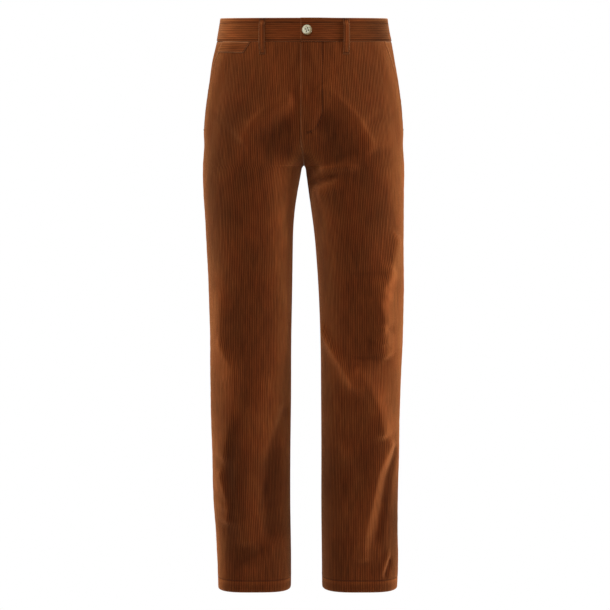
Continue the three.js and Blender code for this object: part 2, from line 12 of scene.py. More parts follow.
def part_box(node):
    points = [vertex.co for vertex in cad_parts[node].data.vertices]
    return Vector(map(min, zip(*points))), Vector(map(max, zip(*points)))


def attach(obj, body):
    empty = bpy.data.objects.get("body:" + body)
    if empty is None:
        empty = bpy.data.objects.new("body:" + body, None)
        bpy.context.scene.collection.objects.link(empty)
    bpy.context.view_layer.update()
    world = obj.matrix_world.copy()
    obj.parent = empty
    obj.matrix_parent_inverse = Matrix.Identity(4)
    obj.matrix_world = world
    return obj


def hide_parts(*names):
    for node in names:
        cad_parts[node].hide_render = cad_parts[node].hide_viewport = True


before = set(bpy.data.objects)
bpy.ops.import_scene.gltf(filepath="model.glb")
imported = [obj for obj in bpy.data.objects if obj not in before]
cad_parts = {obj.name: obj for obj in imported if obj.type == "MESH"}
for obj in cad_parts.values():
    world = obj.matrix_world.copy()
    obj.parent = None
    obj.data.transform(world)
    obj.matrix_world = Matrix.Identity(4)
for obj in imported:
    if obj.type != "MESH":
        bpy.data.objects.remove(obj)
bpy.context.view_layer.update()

bl_info = {
    "name": "Corduroy Trousers",
    "version": (1, 0, 0),
    "blender": (4, 5, 0),
    "location": "3D View > Sidebar > Trousers",
    "description": "Builds a pair of corduroy trousers, its stitching, its button and a pale stage",
    "category": "Add Mesh",
}

# Lengths are in millimetres until a mesh is made. +X is the wearer's left, +Y the back and +Z up.
MM = 0.001
LEFT, RIGHT = 1, -1
SIDES = {"left": LEFT, "right": RIGHT}
BODY = "root"

# The solids' driving dimensions
HEM_Z = -1058
CROTCH_Z = -270.5
BAND_HEIGHT = 41.5
SEAM_GAP = 0.3
HALF_GAP = SEAM_GAP / 2
MIDDLE_HALF_GAP = 0.03
WAIST_SEAM_GAP = 0.03
PANEL_TOP_Z = -BAND_HEIGHT - SEAM_GAP
CLOTH = 1.8
BAND_CLOTH = 3.2
BAND_LIFT = 1.0
HEM_TURN = 22
HEM_EXTRA = 1.5
WAIST_TILT = 0.075
WAIST_TILT_END_Z = -220
FLY_EDGE_X = 6
FLY_UNDERLAP = 11
FLY_LIFT = 2.2
FLY_BOTTOM_Z = -222
FLY_WIDTH = 42
FLY_LIFT_START = 2
FLY_LIFT_BELOW = 40
FLY_LIFT_FADE = 24
BAND_UNDERLAP = 20
BAND_LAP_LIFT = BAND_CLOTH + 0.4
BAND_LAP_START = 3
BAND_LAP_FADE = 38
POCKET_TOP_WIDTH = 48
POCKET_DEPTH = 168
POCKET_LIFT = 2.2
FACING_UNDERLAP = 12
POCKET_LIFT_WIDTH = 14
POCKET_LIFT_FADE = 30
POCKET_LIFT_END = 24
POCKET_END_Z = PANEL_TOP_Z - POCKET_DEPTH
WELT_WIDTH = 65
WELT_HEIGHT = 20
WELT_CLOTH = 1.4
WELT_GAP = 0.6
WELT_DOWN = 1
WELT_IN = 2
LOOP_WIDTH = 11.5
LOOP_CLOTH = 1.7
LOOP_BELOW_SEAM = 23.5
LOOP_STAND_OFF = 3.0
LOOP_TACK = 5
LOOP_TOP_Z = -0.6
LOOP_BOTTOM_Z = -BAND_HEIGHT - LOOP_BELOW_SEAM
FRONT_LOOP_ACROSS = {LEFT: 76, RIGHT: 75}
BACK_LOOP_ACROSS = 104
BUTTON_RADIUS = 9
HOLE_RADIUS = 1.0
HOLE_SPREAD = 2.9
HOLE_TURN = -0.34
CROTCH_FRONT_RISE = 80
CROTCH_BACK_RISE = 112
CROTCH_POWER = 2.4
WAIST_GRAIN_X = 84

# Stitching
POCKET_STITCH_IN = 6.5
HEM_STITCH_Z = HEM_Z + HEM_TURN
BAND_TOP_STITCH = 9
BAND_LOW_STITCH = 2.4
FLY_STITCH_X = 33
FLY_STITCH_TURN_Z = -168
FLY_STITCH_END_Z = -214
LAP_STITCH_IN = 2.5
WELT_STITCH_IN = 1.6
LOOP_STITCH_IN = 1.8
STITCH_RAISE = 0.15
STITCH_LINE_STEP = 3.0
STITCH_SEED = 7
SATIN_WIDTH = 1.8
SATIN_RAISE = 0.35
SATIN_STEP = 0.42


def table(columns, rows):
    """A table's named columns, with the slope of each at every row."""
    values = np.array(rows, float).T
    found = dict(zip(columns, values))
    order = np.arange(values.shape[1])
    above = np.maximum(order - 1, 0)
    below = np.minimum(order + 1, order[-1])
    levels = found["z"]
    for name in columns[1:]:
        column = found[name]
        found[name + " slope"] = (column[below] - column[above]) / (levels[below] - levels[above])
    return found


def named_rows(columns, rows):
    """A table's rows, each with its values under the columns' names."""
    return [dict(zip(columns, row)) for row in rows]


# Half widths and depths of the garment's sections, from the waist down.
# corner is the power of the section's oval: 2 is an ellipse, and more is squarer.
# side_forward is how far the side seam lies in front of the widest point.
SECTIONS = table(
    ["z", "right_outer", "left_outer", "front", "back", "corner", "side_forward"],
    [
        (10, 152, 152, 110, 111, 2.15, 4),
        (0, 153, 153, 110, 112, 2.15, 4),
        (-25, 157, 156.8, 111.5, 115, 2.15, 4),
        (-45, 160.8, 161.3, 112, 118, 2.15, 5),
        (-80, 169, 167.5, 113, 127, 2.2, 6),
        (-125, 175.2, 175.2, 113, 136, 2.2, 8),
        (-175, 180.2, 179.4, 110, 141, 2.25, 9),
        (-225, 183, 182.6, 104.5, 138, 2.3, 10),
        (-274, 186.2, 185.3, 99.5, 127, 2.3, 12),
        (-320, 185.5, 185.2, 98, 114, 2.3, 13),
        (-385, 182.4, 185, 95, 98, 2.3, 13),
        (-500, 177.5, 185.5, 87, 84, 2.3, 13),
        (-600, 175, 183, 80, 77, 2.3, 12),
        (-700, 174, 180, 73, 77, 2.3, 12),
        (-800, 172, 178.5, 68, 78, 2.35, 12),
        (-900, 169.4, 176, 65, 76, 2.4, 11),
        (-950, 165.4, 175.8, 64, 75, 2.5, 10),
        (-1000, 163.4, 176.2, 65, 73, 2.7, 10),
        (HEM_Z, 161, 174.8, 66, 71, 3.2, 10),
    ],
)

# Where the inner side of each leg lies, measured from the middle
LEG_GAP = table(
    ["z", "right_inner", "left_inner", "inseam_forward"],
    [
        (CROTCH_Z, 0.8, 0.8, 0),
        (-274, 3.6, 2.7, 0.4),
        (-280, 5, 3.7, 1.2),
        (-300, 8.6, 6.4, 6),
        (-320, 12.3, 9.1, 10),
        (-350, 16.8, 13.3, 12),
        (-385, 19.8, 18, 12),
        (-420, 20.8, 21.6, 12),
        (-500, 22, 27.2, 12),
        (-600, 23.8, 31, 12),
        (-700, 24.2, 32, 12),
        (-800, 25.5, 32.6, 11),
        (-900, 25.8, 32.6, 10),
        (-1000, 24.4, 33.6, 10),
        (HEM_Z, 24.5, 34.2, 10),
    ],
)

# Short creases across the fly's lap: middle is the distance of each from the centre, along the cloth
FLY_CREASES = named_rows(["z", "middle", "slope", "width", "reach", "height"], [
    (-50, 9, 0.15, 3.2, 15, 1.1),
    (-57, 8, 0.1, 3, 16, 1.0),
    (-86, 16, 0.35, 4.5, 12, 1.6),
    (-97, 20, 0.45, 4, 11, 1.3),
    (-110, 12, 0.3, 5, 14, 1.6),
    (-122, 20, 0.5, 4.5, 11, 1.4),
    (-134, 11, 0.25, 5, 12, 1.5),
    (-151, 14, 0.4, 6, 12, 1.2),
])

# The main creases of the cloth. across is the distance along the cloth from the front crease line,
# outwards, so the outer side is near 115 and the back near 230. A ridge has a height above 0.
# left_width and right_width are how far it spreads to each side of its line, looking along it with
# across to the right and z up. power is 2 for a round crease, and less for a sharp one. Each fades in
# and out about its end points, so rows that share one make a single bent crease.
CREASE_START = 9
CREASE_FADE = 20
CREASE_COLUMNS = ["side", "across0", "z0", "across1", "z1", "left_width", "right_width", "height", "power"]
CREASES = named_rows(CREASE_COLUMNS, [
    # Wearer's left: knee folds
    (LEFT, -96, -564, -43, -624, 9, 11, 6, 1.7),
    (LEFT, -43, -624, -10, -678, 9, 11, 6, 1.7),
    (LEFT, -8, -643, 28, -708, 22, 16, 12, 1.5),
    (LEFT, 28, -708, 39, -768, 22, 16, 12, 1.5),
    (LEFT, -18, -622, 46, -620, 5, 8, -4, 2),
    # Wearer's left: folds along the outer side
    (LEFT, 76, -398, 55, -456, 22, 14, 6, 1.6),
    (LEFT, 55, -456, 29, -505, 20, 16, 10, 1.6),
    (LEFT, 29, -505, 38, -566, 20, 16, 11, 1.6),
    (LEFT, 38, -566, 28, -590, 20, 14, 10, 1.6),
    (LEFT, 28, -590, 44, -622, 20, 12, 8, 1.6),
    # Wearer's left: long fold down the shin and the dip beside it
    (LEFT, 60, -776, 32, -829, 9, 18, 6, 1.8),
    (LEFT, 32, -829, 21, -885, 9, 18, 7, 1.8),
    (LEFT, 21, -885, 5, -965, 9, 18, 7, 1.8),
    (LEFT, 5, -965, 7, -998, 9, 18, 7, 1.8),
    (LEFT, 84, -790, 54, -838, 10, 10, -5, 2),
    (LEFT, 54, -838, 44, -892, 10, 10, -5, 2),
    (LEFT, 44, -892, 28, -968, 10, 10, -5, 2),
    # Wearer's left: short pulls below the crotch
    (LEFT, -66, -276, 0, -272, 7, 8, 4.5, 2),
    (LEFT, -107, -306, -35, -290, 6, 6, -5, 2),
    (LEFT, -82, -322, -31, -302, 8, 10, 4.5, 2),
    # Wearer's left: the pull from the fly to the hip, with a hollow below it
    (LEFT, -56, -128, -16, -168, 34, 16, 6, 1.8),
    (LEFT, -16, -168, 14, -203, 34, 16, 6, 1.8),
    (LEFT, 14, -203, 29, -246, 34, 16, 6, 1.8),
    (LEFT, -66, -182, -30, -215, 26, 30, -5, 2),
    (LEFT, -30, -215, -14, -258, 26, 30, -5, 2),
    # Wearer's right: long soft fold down the shin and the dip beside it
    (RIGHT, -30, -662, 6, -763, 20, 22, 5, 1.8),
    (RIGHT, 6, -763, 24, -844, 16, 22, 6, 1.8),
    (RIGHT, 24, -844, 18, -922, 16, 22, 6, 1.8),
    (RIGHT, 18, -922, 12, -968, 16, 22, 6, 1.8),
    (RIGHT, -82, -712, -38, -794, 15, 26, -5, 2),
    (RIGHT, -38, -794, -28, -888, 15, 30, -7, 2),
    (RIGHT, -28, -888, -34, -960, 15, 30, -7, 2),
    # Wearer's right: folds along the outer side
    (RIGHT, 54, -500, 58, -590, 20, 14, 4, 1.6),
    (RIGHT, 58, -590, 23, -652, 24, 12, 8, 1.4),
    (RIGHT, 23, -652, 34, -736, 24, 12, 8, 1.4),
    (RIGHT, 34, -736, 51, -812, 22, 12, 7, 1.4),
    (RIGHT, 60, -834, 40, -895, 22, 12, 7, 1.4),
    (RIGHT, 40, -895, 46, -930, 22, 12, 7, 1.4),
    # Wearer's right: the pull from the fly to the hip, with a hollow below it, and the inner thigh
    (RIGHT, 22, -226, -15, -187, 18, 30, 7, 1.8),
    (RIGHT, -15, -187, -66, -148, 18, 30, 7, 1.8),
    (RIGHT, -10, -246, -76, -188, 32, 22, -4.5, 2),
    (RIGHT, -2, -232, -30, -305, 30, 30, 4, 2),
    (RIGHT, -30, -305, -46, -378, 30, 32, 3.5, 2),
    (RIGHT, -46, -378, -52, -520, 30, 34, 2.5, 2),
    # Both backs: pulls under the seat, creases behind the knee and drape to the hem
    (LEFT, 308, -299, 246, -338, 12, 12, 4.5, 2),
    (RIGHT, 306, -306, 242, -346, 12, 12, 4.3, 2),
    (LEFT, 296, -337, 236, -381, 11, 11, -4, 2),
    (RIGHT, 300, -345, 240, -385, 12, 12, -4.2, 2),
    (LEFT, 207, -615, 275, -631, 9, 9, -5.5, 2),
    (RIGHT, 194, -607, 264, -625, 9, 9, -5, 2),
    (LEFT, 216, -652, 288, -662, 10, 10, 5, 1.6),
    (RIGHT, 202, -650, 278, -665, 10, 10, 4.8, 1.6),
    (LEFT, 188, -688, 256, -678, 10, 10, -4.4, 2),
    (RIGHT, 210, -698, 274, -686, 10, 10, -4.4, 2),
    (LEFT, 242, -770, 218, -955, 14, 22, 7, 1.6),
    (RIGHT, 236, -790, 258, -970, 22, 14, 6.6, 1.6),
    (LEFT, 202, -828, 180, -992, 14, 14, -4.6, 2),
    (RIGHT, 279, -818, 297, -982, 14, 14, -4.4, 2),
    # Smaller creases
    (LEFT, -18, -466, 48, -467, 5, 7, -2.4, 2),
    (LEFT, -26, -627, 40, -624, 4, 4, 2.4, 2),
    (LEFT, 54, -984, 38, -1021, 6, 6, 3, 2),
    (LEFT, 59, -998, 46, -1031, 5, 5, -3.4, 2),
    (LEFT, -36, -772, -8, -852, 9, 9, 2.4, 2),
    (LEFT, -95, -84, -70, -70, 6, 6, 1.6, 2),
    (LEFT, -92, -118, -84, -108, 7, 7, 1.8, 2),
    (RIGHT, 25, -1018, -10, -1015, 6, 6, 2.5, 2),
    (RIGHT, 26, -1004, -24, -975, 8, 8, -3, 2),
    (RIGHT, 8, -393, -20, -412, 8, 8, 2, 2),
    (RIGHT, 9, -201, -20, -172, 6, 6, 2.6, 2),
    (RIGHT, -20, -172, -66, -148, 6, 6, 2.4, 2),
    (LEFT, -60, -129, -36, -141, 6, 6, 2.4, 2),
    (LEFT, -36, -141, 4, -184, 6, 6, 2.6, 2),
    (LEFT, 4, -184, 30, -232, 6, 6, 2.4, 2),
])

# Shallow waves of the cloth. across and down set how long they are, and shift is where each begins.
RIPPLES = named_rows(["height", "across", "down", "shift"], [
    (0.32, 19, 83, 1.7),
    (0.26, 31, -57, 3.57),
    (0.16, 11, 37, -1.7),
    (0.14, 90, 17, 5.1),
])
RIPPLE_FADE = 45
RIPPLE_TOP_FADE = 60

# The puckers beside the seams: each wave's share, the length that sets its spacing and its shift
PUCKER_WAVES = [(1, 3.1, 0), (0.7, 5.3, 1), (0.5, 8.7, 2)]
PUCKER_HEIGHT = 0.14
PUCKER_REACH = 7
PUCKER_START = 2


def smooth(value):
    """0 below 0, 1 above 1, and an even ease between."""
    held = np.clip(value, 0, 1)
    return held * held * (3 - 2 * held)


def value_at(found, name, z):
    """A table's column at level z, on a smooth curve through its rows."""
    levels, values, slopes = found["z"], found[name], found[name + " slope"]
    if z >= levels[0]:
        return values[0]
    if z <= levels[-1]:
        return values[-1]
    i = int(np.searchsorted(-levels, -z, side="left")) - 1
    span = levels[i + 1] - levels[i]
    t = (z - levels[i]) / span
    return (
        (2 * t ** 3 - 3 * t ** 2 + 1) * values[i]
        + (t ** 3 - 2 * t ** 2 + t) * span * slopes[i]
        + (3 * t ** 2 - 2 * t ** 3) * values[i + 1]
        + (t ** 3 - t ** 2) * span * slopes[i + 1]
    )


CROTCH_OUTER = value_at(SECTIONS, "right_outer", CROTCH_Z)
CROTCH_INNER = value_at(LEG_GAP, "right_inner", CROTCH_Z)
CROTCH_CENTRE = 0.5 * (CROTCH_OUTER + CROTCH_INNER)
WAIST_CENTRE = 0.4
QUARTER_STEPS = 120
SMALLEST_SHARE = 0.02


def crotch_rise(z, rise):
    """How far the crotch seam has risen from its lowest point to the full front or back, 0 to 1."""
    t = min(1, (z - CROTCH_Z) / rise)
    return (1 - (1 - t) ** CROTCH_POWER) ** (1 / CROTCH_POWER)


def quarter(centre, reach, depth, corner, most_share):
    """A quarter of an oval, from its end on the x axis (share 1) to its end on the y axis."""
    most = math.asin(min(1, most_share) ** (corner / 2))
    angle = most * smooth(1 - np.arange(QUARTER_STEPS + 1) / QUARTER_STEPS)
    across = np.clip(np.sin(angle), 0, 1) ** (2 / corner)
    deep = np.clip(np.cos(angle), 0, 1) ** (2 / corner)
    return np.column_stack([centre + reach * across, depth * deep])


class Section:
    """One half's section at a level, as a line with lengths along it.

    Above the crotch it runs from the middle of the front round the side to the middle of the back.
    Below, it is a closed ring that starts and ends at the inner side of the leg.
    """

    known = {}

    def __init__(self, side, z):
        word = "left" if side == LEFT else "right"
        outer = value_at(SECTIONS, word + "_outer", z)
        front, back = value_at(SECTIONS, "front", z), value_at(SECTIONS, "back", z)
        corner = value_at(SECTIONS, "corner", z)
        self.open = z > CROTCH_Z
        inner = 0 if self.open else value_at(LEG_GAP, word + "_inner", z)
        share = min(1, max(0, (-BAND_HEIGHT - z) / (-BAND_HEIGHT - CROTCH_Z)))
        centre = (outer + inner) / 2
        if self.open:
            centre = WAIST_CENTRE + (CROTCH_CENTRE - WAIST_CENTRE) * share ** 1.5

        def inner_quarter(depth, rise):
            if not self.open:
                return quarter(centre, inner - centre, depth, corner, 1)
            reached = max(SMALLEST_SHARE, (1 - crotch_rise(z, rise) ** corner) ** (1 / corner))
            return quarter(centre, -centre / reached, depth, corner, reached)

        self.points = np.concatenate([
            inner_quarter(-front, CROTCH_FRONT_RISE),
            quarter(centre, outer - centre, -front, corner, 1)[::-1],
            quarter(centre, outer - centre, back, corner, 1),
            inner_quarter(back, CROTCH_BACK_RISE)[::-1],
        ])
        steps = np.hypot(*np.diff(self.points, axis=0).T)
        self.lengths = np.concatenate([[0], np.cumsum(steps)])
        self.total = self.lengths[-1]
        self.front_centre = self.lengths[QUARTER_STEPS]
        self.back_centre = self.lengths[3 * QUARTER_STEPS + 2]
        self.side = self.lengths[2 * QUARTER_STEPS + 1] - value_at(SECTIONS, "side_forward", z)
        self.grain = self.crease_line(z, onto_back=False)
        self.back_grain = self.crease_line(z, onto_back=True)

    @classmethod
    def at(cls, side, z):
        key = (side, round(float(z), 5))
        if key not in cls.known:
            cls.known[key] = cls(side, float(z))
        return cls.known[key]

    def crease_line(self, z, onto_back):
        """The distance of the front or back crease line, which the ribs run beside."""
        if not self.open:
            return self.back_centre if onto_back else self.front_centre
        share = min(1, (z - CROTCH_Z) / (-BAND_HEIGHT - CROTCH_Z))
        x = CROTCH_CENTRE + (WAIST_GRAIN_X - CROTCH_CENTRE) * share
        half = 2 * QUARTER_STEPS + 1
        if onto_back:
            return float(np.interp(-x, -self.points[half:, 0], self.lengths[half:]))
        return float(np.interp(x, self.points[:half, 0], self.lengths[:half]))

    def along(self, distance):
        d = np.asarray(distance, float)
        d = np.clip(d, 0, self.total) if self.open else np.mod(d, self.total)
        return np.interp(d, self.lengths, self.points[:, 0]), np.interp(d, self.lengths, self.points[:, 1])


def waist_tilt(z):
    return WAIST_TILT * smooth((z - WAIST_TILT_END_Z) / (-BAND_HEIGHT - WAIST_TILT_END_Z))


def base_points(side, z, distance):
    """Points of the cloth's own surface, without creases. A distance past the middle crosses it."""
    own, other = Section.at(side, z), Section.at(-side, z)
    d = np.asarray(distance, float)
    x, y = own.along(d)
    x = side * x
    if own.open:
        crossed = (d < 0) | (d > own.total)
        other_x, other_y = other.along(np.where(d < 0, -d, other.total - (d - own.total)))
        x = np.where(crossed, -side * other_x, x)
        y = np.where(crossed, other_y, y)
    return np.column_stack([x, y, z + waist_tilt(z) * y])


NORMAL_STEP = 2


def base_normals(side, z, distance, first, last):
    """Outward directions. Above the crotch they are taken within the half that the piece covers."""

    def held(level, d):
        section = Section.at(side, level)
        if not section.open:
            return d
        return np.clip(d, min(0, first(level)), max(last(level), section.total))

    here = Section.at(side, z)
    after, before = held(z, distance + NORMAL_STEP), held(z, distance - NORMAL_STEP)
    along = base_points(side, z, after) - base_points(side, z, before)

    def beside(level):
        return base_points(side, level, held(level, distance - here.side + Section.at(side, level).side))

    up = beside(z + NORMAL_STEP) - beside(z - NORMAL_STEP)
    normal = np.cross(along, up) * side
    return normal / np.linalg.norm(normal, axis=1)[:, None]


def crease_height(crease, across, z):
    run = np.array([crease["across1"] - crease["across0"], crease["z1"] - crease["z0"]], float)
    length = math.hypot(*run)
    dx, dz = across - crease["across0"], z - crease["z0"]
    t = (dx * run[0] + dz * run[1]) / length ** 2
    off = (dz * run[0] - dx * run[1]) / length
    spread = np.abs(off) / np.where(off > 0, crease["left_width"], crease["right_width"])
    ends = smooth(3 * t + 0.5) * smooth(3.5 - 3 * t)
    return crease["height"] * ends * np.exp(-(spread ** crease["power"]))


def creases(side, z, distance):
    """All creases together, which fade out at the middle seams and the inseam."""
    section = Section.at(side, z)
    across = distance - section.grain
    turns = (0,) if section.open else (-1, 0, 1)
    height = np.zeros_like(across)
    for crease in CREASES:
        reach = 3 * max(crease["left_width"], crease["right_width"])
        low, high = sorted((crease["z0"], crease["z1"]))
        if crease["side"] == side and low - reach < z < high + reach:
            for turn in turns:
                height += crease_height(crease, across + turn * section.total, z)
    inside = np.minimum(distance, section.total - distance)
    return height * smooth((inside - CREASE_START) / CREASE_FADE)


def ripple(side, z, distance):
    """Slight unevenness of the cloth, which fades out at the middle and at the inseam."""
    section = Section.at(side, z)
    across = distance - section.side
    waves = np.zeros_like(across)
    for wave in RIPPLES:
        turn = across / wave["across"] + z / wave["down"] + wave["shift"] * side
        waves = waves + wave["height"] * np.sin(turn)
    ends = smooth(distance / RIPPLE_FADE) * smooth((section.total - distance) / RIPPLE_FADE)
    return waves * ends * smooth((PANEL_TOP_Z - z) / RIPPLE_TOP_FADE)


def seam_pucker(z, gap):
    """Small waves that a sewn seam draws into the cloth beside it."""
    waves = sum(share * np.sin(z / length + shift) for share, length, shift in PUCKER_WAVES)
    return PUCKER_HEIGHT * waves * np.exp(-gap / PUCKER_REACH) * smooth(gap / PUCKER_START)


def edge_roll(gap, radius):
    """How far the surface turns in at a distance from an edge that is rounded off."""
    if not radius:
        return np.zeros_like(gap)
    inside = 1 - np.clip(gap / radius, 0, 1)
    return radius * (1 - np.sqrt(1 - np.minimum(1, inside ** 2)))


def hem_thickness(z):
    return CLOTH + HEM_EXTRA * float(smooth((HEM_Z + HEM_TURN - z) / 3))


# Where the panels begin and end, and how far they stand out where they lap

def seam_share(z):
    return float(smooth((FLY_BOTTOM_Z - z) / (FLY_BOTTOM_Z - CROTCH_Z - 4)))


def fly_edge(z):
    return FLY_EDGE_X * (1 - seam_share(z))


def front_start(side, z):
    if z <= CROTCH_Z:
        return value_at(LEG_GAP, "inseam_forward", z) + HALF_GAP
    if side == LEFT:
        return -fly_edge(z) + MIDDLE_HALF_GAP
    butted = fly_edge(z) + MIDDLE_HALF_GAP
    lapped = float(smooth((z - FLY_BOTTOM_Z + 14) / 30))
    return butted + (-FLY_UNDERLAP - butted) * lapped


def back_end(side, z):
    section = Section.at(side, z)
    if z > CROTCH_Z:
        return section.total - MIDDLE_HALF_GAP
    return section.total + value_at(LEG_GAP, "inseam_forward", z) - HALF_GAP


def pocket_edge(side, z):
    width = POCKET_TOP_WIDTH * max(0, 1 - (PANEL_TOP_Z - z) / POCKET_DEPTH) ** 1.5
    return Section.at(side, z).side - width - HALF_GAP


def fly_creases(z, distance):
    """Short creases across the lapped front, between its edge and its stitching."""
    lift = np.zeros_like(distance)
    for crease in FLY_CREASES:
        off = z - crease["z"] - crease["slope"] * (distance - crease["middle"])
        spread = (off / crease["width"]) ** 2 + ((distance - crease["middle"]) / crease["reach"]) ** 2
        lift = lift + crease["height"] * np.exp(-spread)
    return lift


def front_lift(side, z, distance):
    """How far the front stands out where it laps over the pocket facing and over the fly."""
    along_pocket = smooth((z - POCKET_END_Z + POCKET_LIFT_END) / POCKET_LIFT_END)
    from_pocket = pocket_edge(side, z) - distance
    near_pocket = 1 - smooth((from_pocket - FACING_UNDERLAP - POCKET_LIFT_WIDTH) / POCKET_LIFT_FADE)
    lift = POCKET_LIFT * along_pocket * near_pocket
    if side == LEFT:
        along_fly = smooth((z - FLY_BOTTOM_Z + FLY_LIFT_BELOW) / FLY_LIFT_FADE)
        near_fly = 1 - smooth((distance - FLY_UNDERLAP - FLY_LIFT_START) / (FLY_WIDTH - FLY_UNDERLAP))
        lift = lift + FLY_LIFT * along_fly * near_fly + fly_creases(z, distance)
    return lift


def band_lift(side, distance):
    """How far the waistband stands out, with the left end over the right one."""
    if side == RIGHT:
        return np.full_like(distance, BAND_LIFT)
    past_lap = smooth((distance - BAND_UNDERLAP - BAND_LAP_START) / BAND_LAP_FADE)
    return BAND_LIFT + BAND_LAP_LIFT * (1 - past_lap)


@dataclass
class Cloth:
    """A piece of cloth between two lines down the garment, with its ribs and edges."""

    side: int
    levels: np.ndarray
    first: object
    last: object
    lift: object
    thickness: object
    ribs: str = "down"
    columns: int = 0
    on_back: bool = False
    roll: dict = field(default_factory=dict)
    grooves: object = None
    rippled: bool = False
    meets_middle: bool = False
    rubbed: object = lambda z, d: 0.8
    # tone is painted light (above 0) and painted shade, laid into the colour
    tone: object = lambda z, d: 0

    def grain(self, z):
        section = Section.at(self.side, z)
        return section.back_grain if self.on_back else section.grain

    def height(self, z, distance):
        """The height of the cloth's face over its plain surface, without ribs."""
        out = self.lift(z, distance) + creases(self.side, z, distance)
        return out + ripple(self.side, z, distance) if self.rippled else out

    def face(self, z, distance, raised=STITCH_RAISE):
        """Points just over the cloth's face, for what lies on it."""
        d = np.atleast_1d(np.asarray(distance, float))
        normal = base_normals(self.side, z, d, self.first, self.last)
        return base_points(self.side, z, d) + normal * (self.height(z, d) + raised)[:, None]


RIB_STEPS = 4
RIB_ROUNDNESS = 0.7
BAND_COLUMNS = 220
WELT_COLUMNS = 40
# The part of a rib's depth that lies under the solid's own face
RIB_MIDDLE = 0.65
GROOVE_DEPTH = 0.35
GROOVE_REACH = 1.1
# How much of a rib a row of stitches presses flat
RIB_PRESSED = 0.75
RIB_EDGE_FADE = 1.2
WEAR_REACH = 1.6
CROTCH_ROLL_FADE = 60
# The most that the back of the cloth turns in at an edge, as a part of its thickness
BACK_ROLL = 0.35
# Painted light and shade: crease ridges are painted paler and hollows darker, with the painted shade between
# the legs and each piece's tone added
CREASE_PAINTED_LIGHT_REACH = 7.5
PAINTED_LIGHT_RANGE = (-2, 1)
PAINTED_LIGHT_STRENGTH = 0.42
# Painted light (above 0) and painted shade in single spots on the fronts, where folds are lit or lie in
# shade. across is measured as in CREASES
PAINTED_LIGHT_SPOTS = named_rows(["side", "across", "z", "across_reach", "z_reach", "amount"], [
    (RIGHT, 82, -300, 34, 120, -1.1),
    (RIGHT, -49, -285, 13, 55, 0.8),
    (RIGHT, -65, -248, 16, 16, -0.9),
    (RIGHT, -90, -470, 20, 130, 1.0),
    (RIGHT, -30, -765, 14, 35, 0.5),
    (RIGHT, -8, -825, 13, 45, 0.5),
    (RIGHT, 34, -865, 25, 125, -1.9),
    (RIGHT, -2, -870, 11, 60, 0.5),
    (RIGHT, 30, -190, 28, 30, -0.7),
    (LEFT, -20, -215, 26, 30, 0.5),
    (LEFT, 28, -865, 14, 60, -0.5),
    (LEFT, 33, -925, 10, 45, 0.8),
    (LEFT, 84, -935, 27, 110, -1.6),
])
# Painted light beside the fly: the cloth is painted paler there, down to LAP_TONE_END_Z and out to
# LAP_TONE_REACH
LAP_PAINTED_LIGHT = {RIGHT: 0.9, LEFT: 0.7}
LAP_TONE_REACH = 115
LAP_TONE_FADE = 55
LAP_TONE_END_Z = -210
LAP_TONE_SPAN = 90
# A painted highlight lies in a line just under the hem's stitching
HEM_PAINTED_HIGHLIGHT = 0.8
HEM_LINE_Z = HEM_STITCH_Z - 3
HEM_LINE_REACH = 3
# Painted light and shade on the waistband: its right half is painted paler to BAND_PALE_REACH, and its left
# half is painted darker over the hip
BAND_PAINTED_LIGHT = 0.9
BAND_PALE_REACH = 200
BAND_LEFT_PAINTED_LIGHT = 0.4
BAND_HIP_PAINTED_SHADE = -1.7
BAND_HIP = (90, 230)
BAND_TONE_FADE = 60
BAND_STRIP_PAINTED_HIGHLIGHT = 0.35
# The inner sides lie in each other's shade from "top" down, and at the crotch
LEG_SHADE = {
    RIGHT: {"top": -700, "span": 300, "reach": 80, "strength": 2.2, "crotch": 1.7},
    LEFT: {"top": -560, "span": 350, "reach": 110, "strength": 1.7, "crotch": 1.1},
}
CROTCH_SHADE_REACH = 15
BACK_COLUMN_EVERY = 8


def rib_shape(place):
    """A rib's height from 0 in the groove to 1 on top, at a place counted in ribs."""
    return np.abs(np.sin(math.pi * place)) ** RIB_ROUNDNESS


def shade_between(side, z, distance):
    """The shade at the crotch and between the legs towards the hems."""
    from_inseam = np.minimum(distance, Section.at(side, z).total - distance)
    shade = LEG_SHADE[side]
    legs = smooth((shade["top"] - z) / shade["span"]) * smooth(1 - from_inseam / shade["reach"])
    crotch = np.exp(-((z - CROTCH_Z - 7) / CROTCH_SHADE_REACH) ** 2 - (from_inseam / CROTCH_SHADE_REACH) ** 2)
    return shade["strength"] * legs + shade["crotch"] * crotch


def front_painted_light(side, z, distance):
    """Painted light and shade on a front: paler beside the fly, a painted highlight line at the hem and
    single painted spots.
    """
    across = distance - Section.at(side, z).grain
    beside_fly = smooth((LAP_TONE_REACH - distance) / LAP_TONE_FADE)
    tone = LAP_PAINTED_LIGHT[side] * smooth((z - LAP_TONE_END_Z) / LAP_TONE_SPAN) * beside_fly
    tone = tone + HEM_PAINTED_HIGHLIGHT * math.exp(-((z - HEM_LINE_Z) / HEM_LINE_REACH) ** 2)
    for spot in PAINTED_LIGHT_SPOTS:
        if spot["side"] == side:
            off_across = (across - spot["across"]) / spot["across_reach"]
            off_down = (z - spot["z"]) / spot["z_reach"]
            tone = tone + spot["amount"] * np.exp(-(off_across ** 2 + off_down ** 2))
    return tone


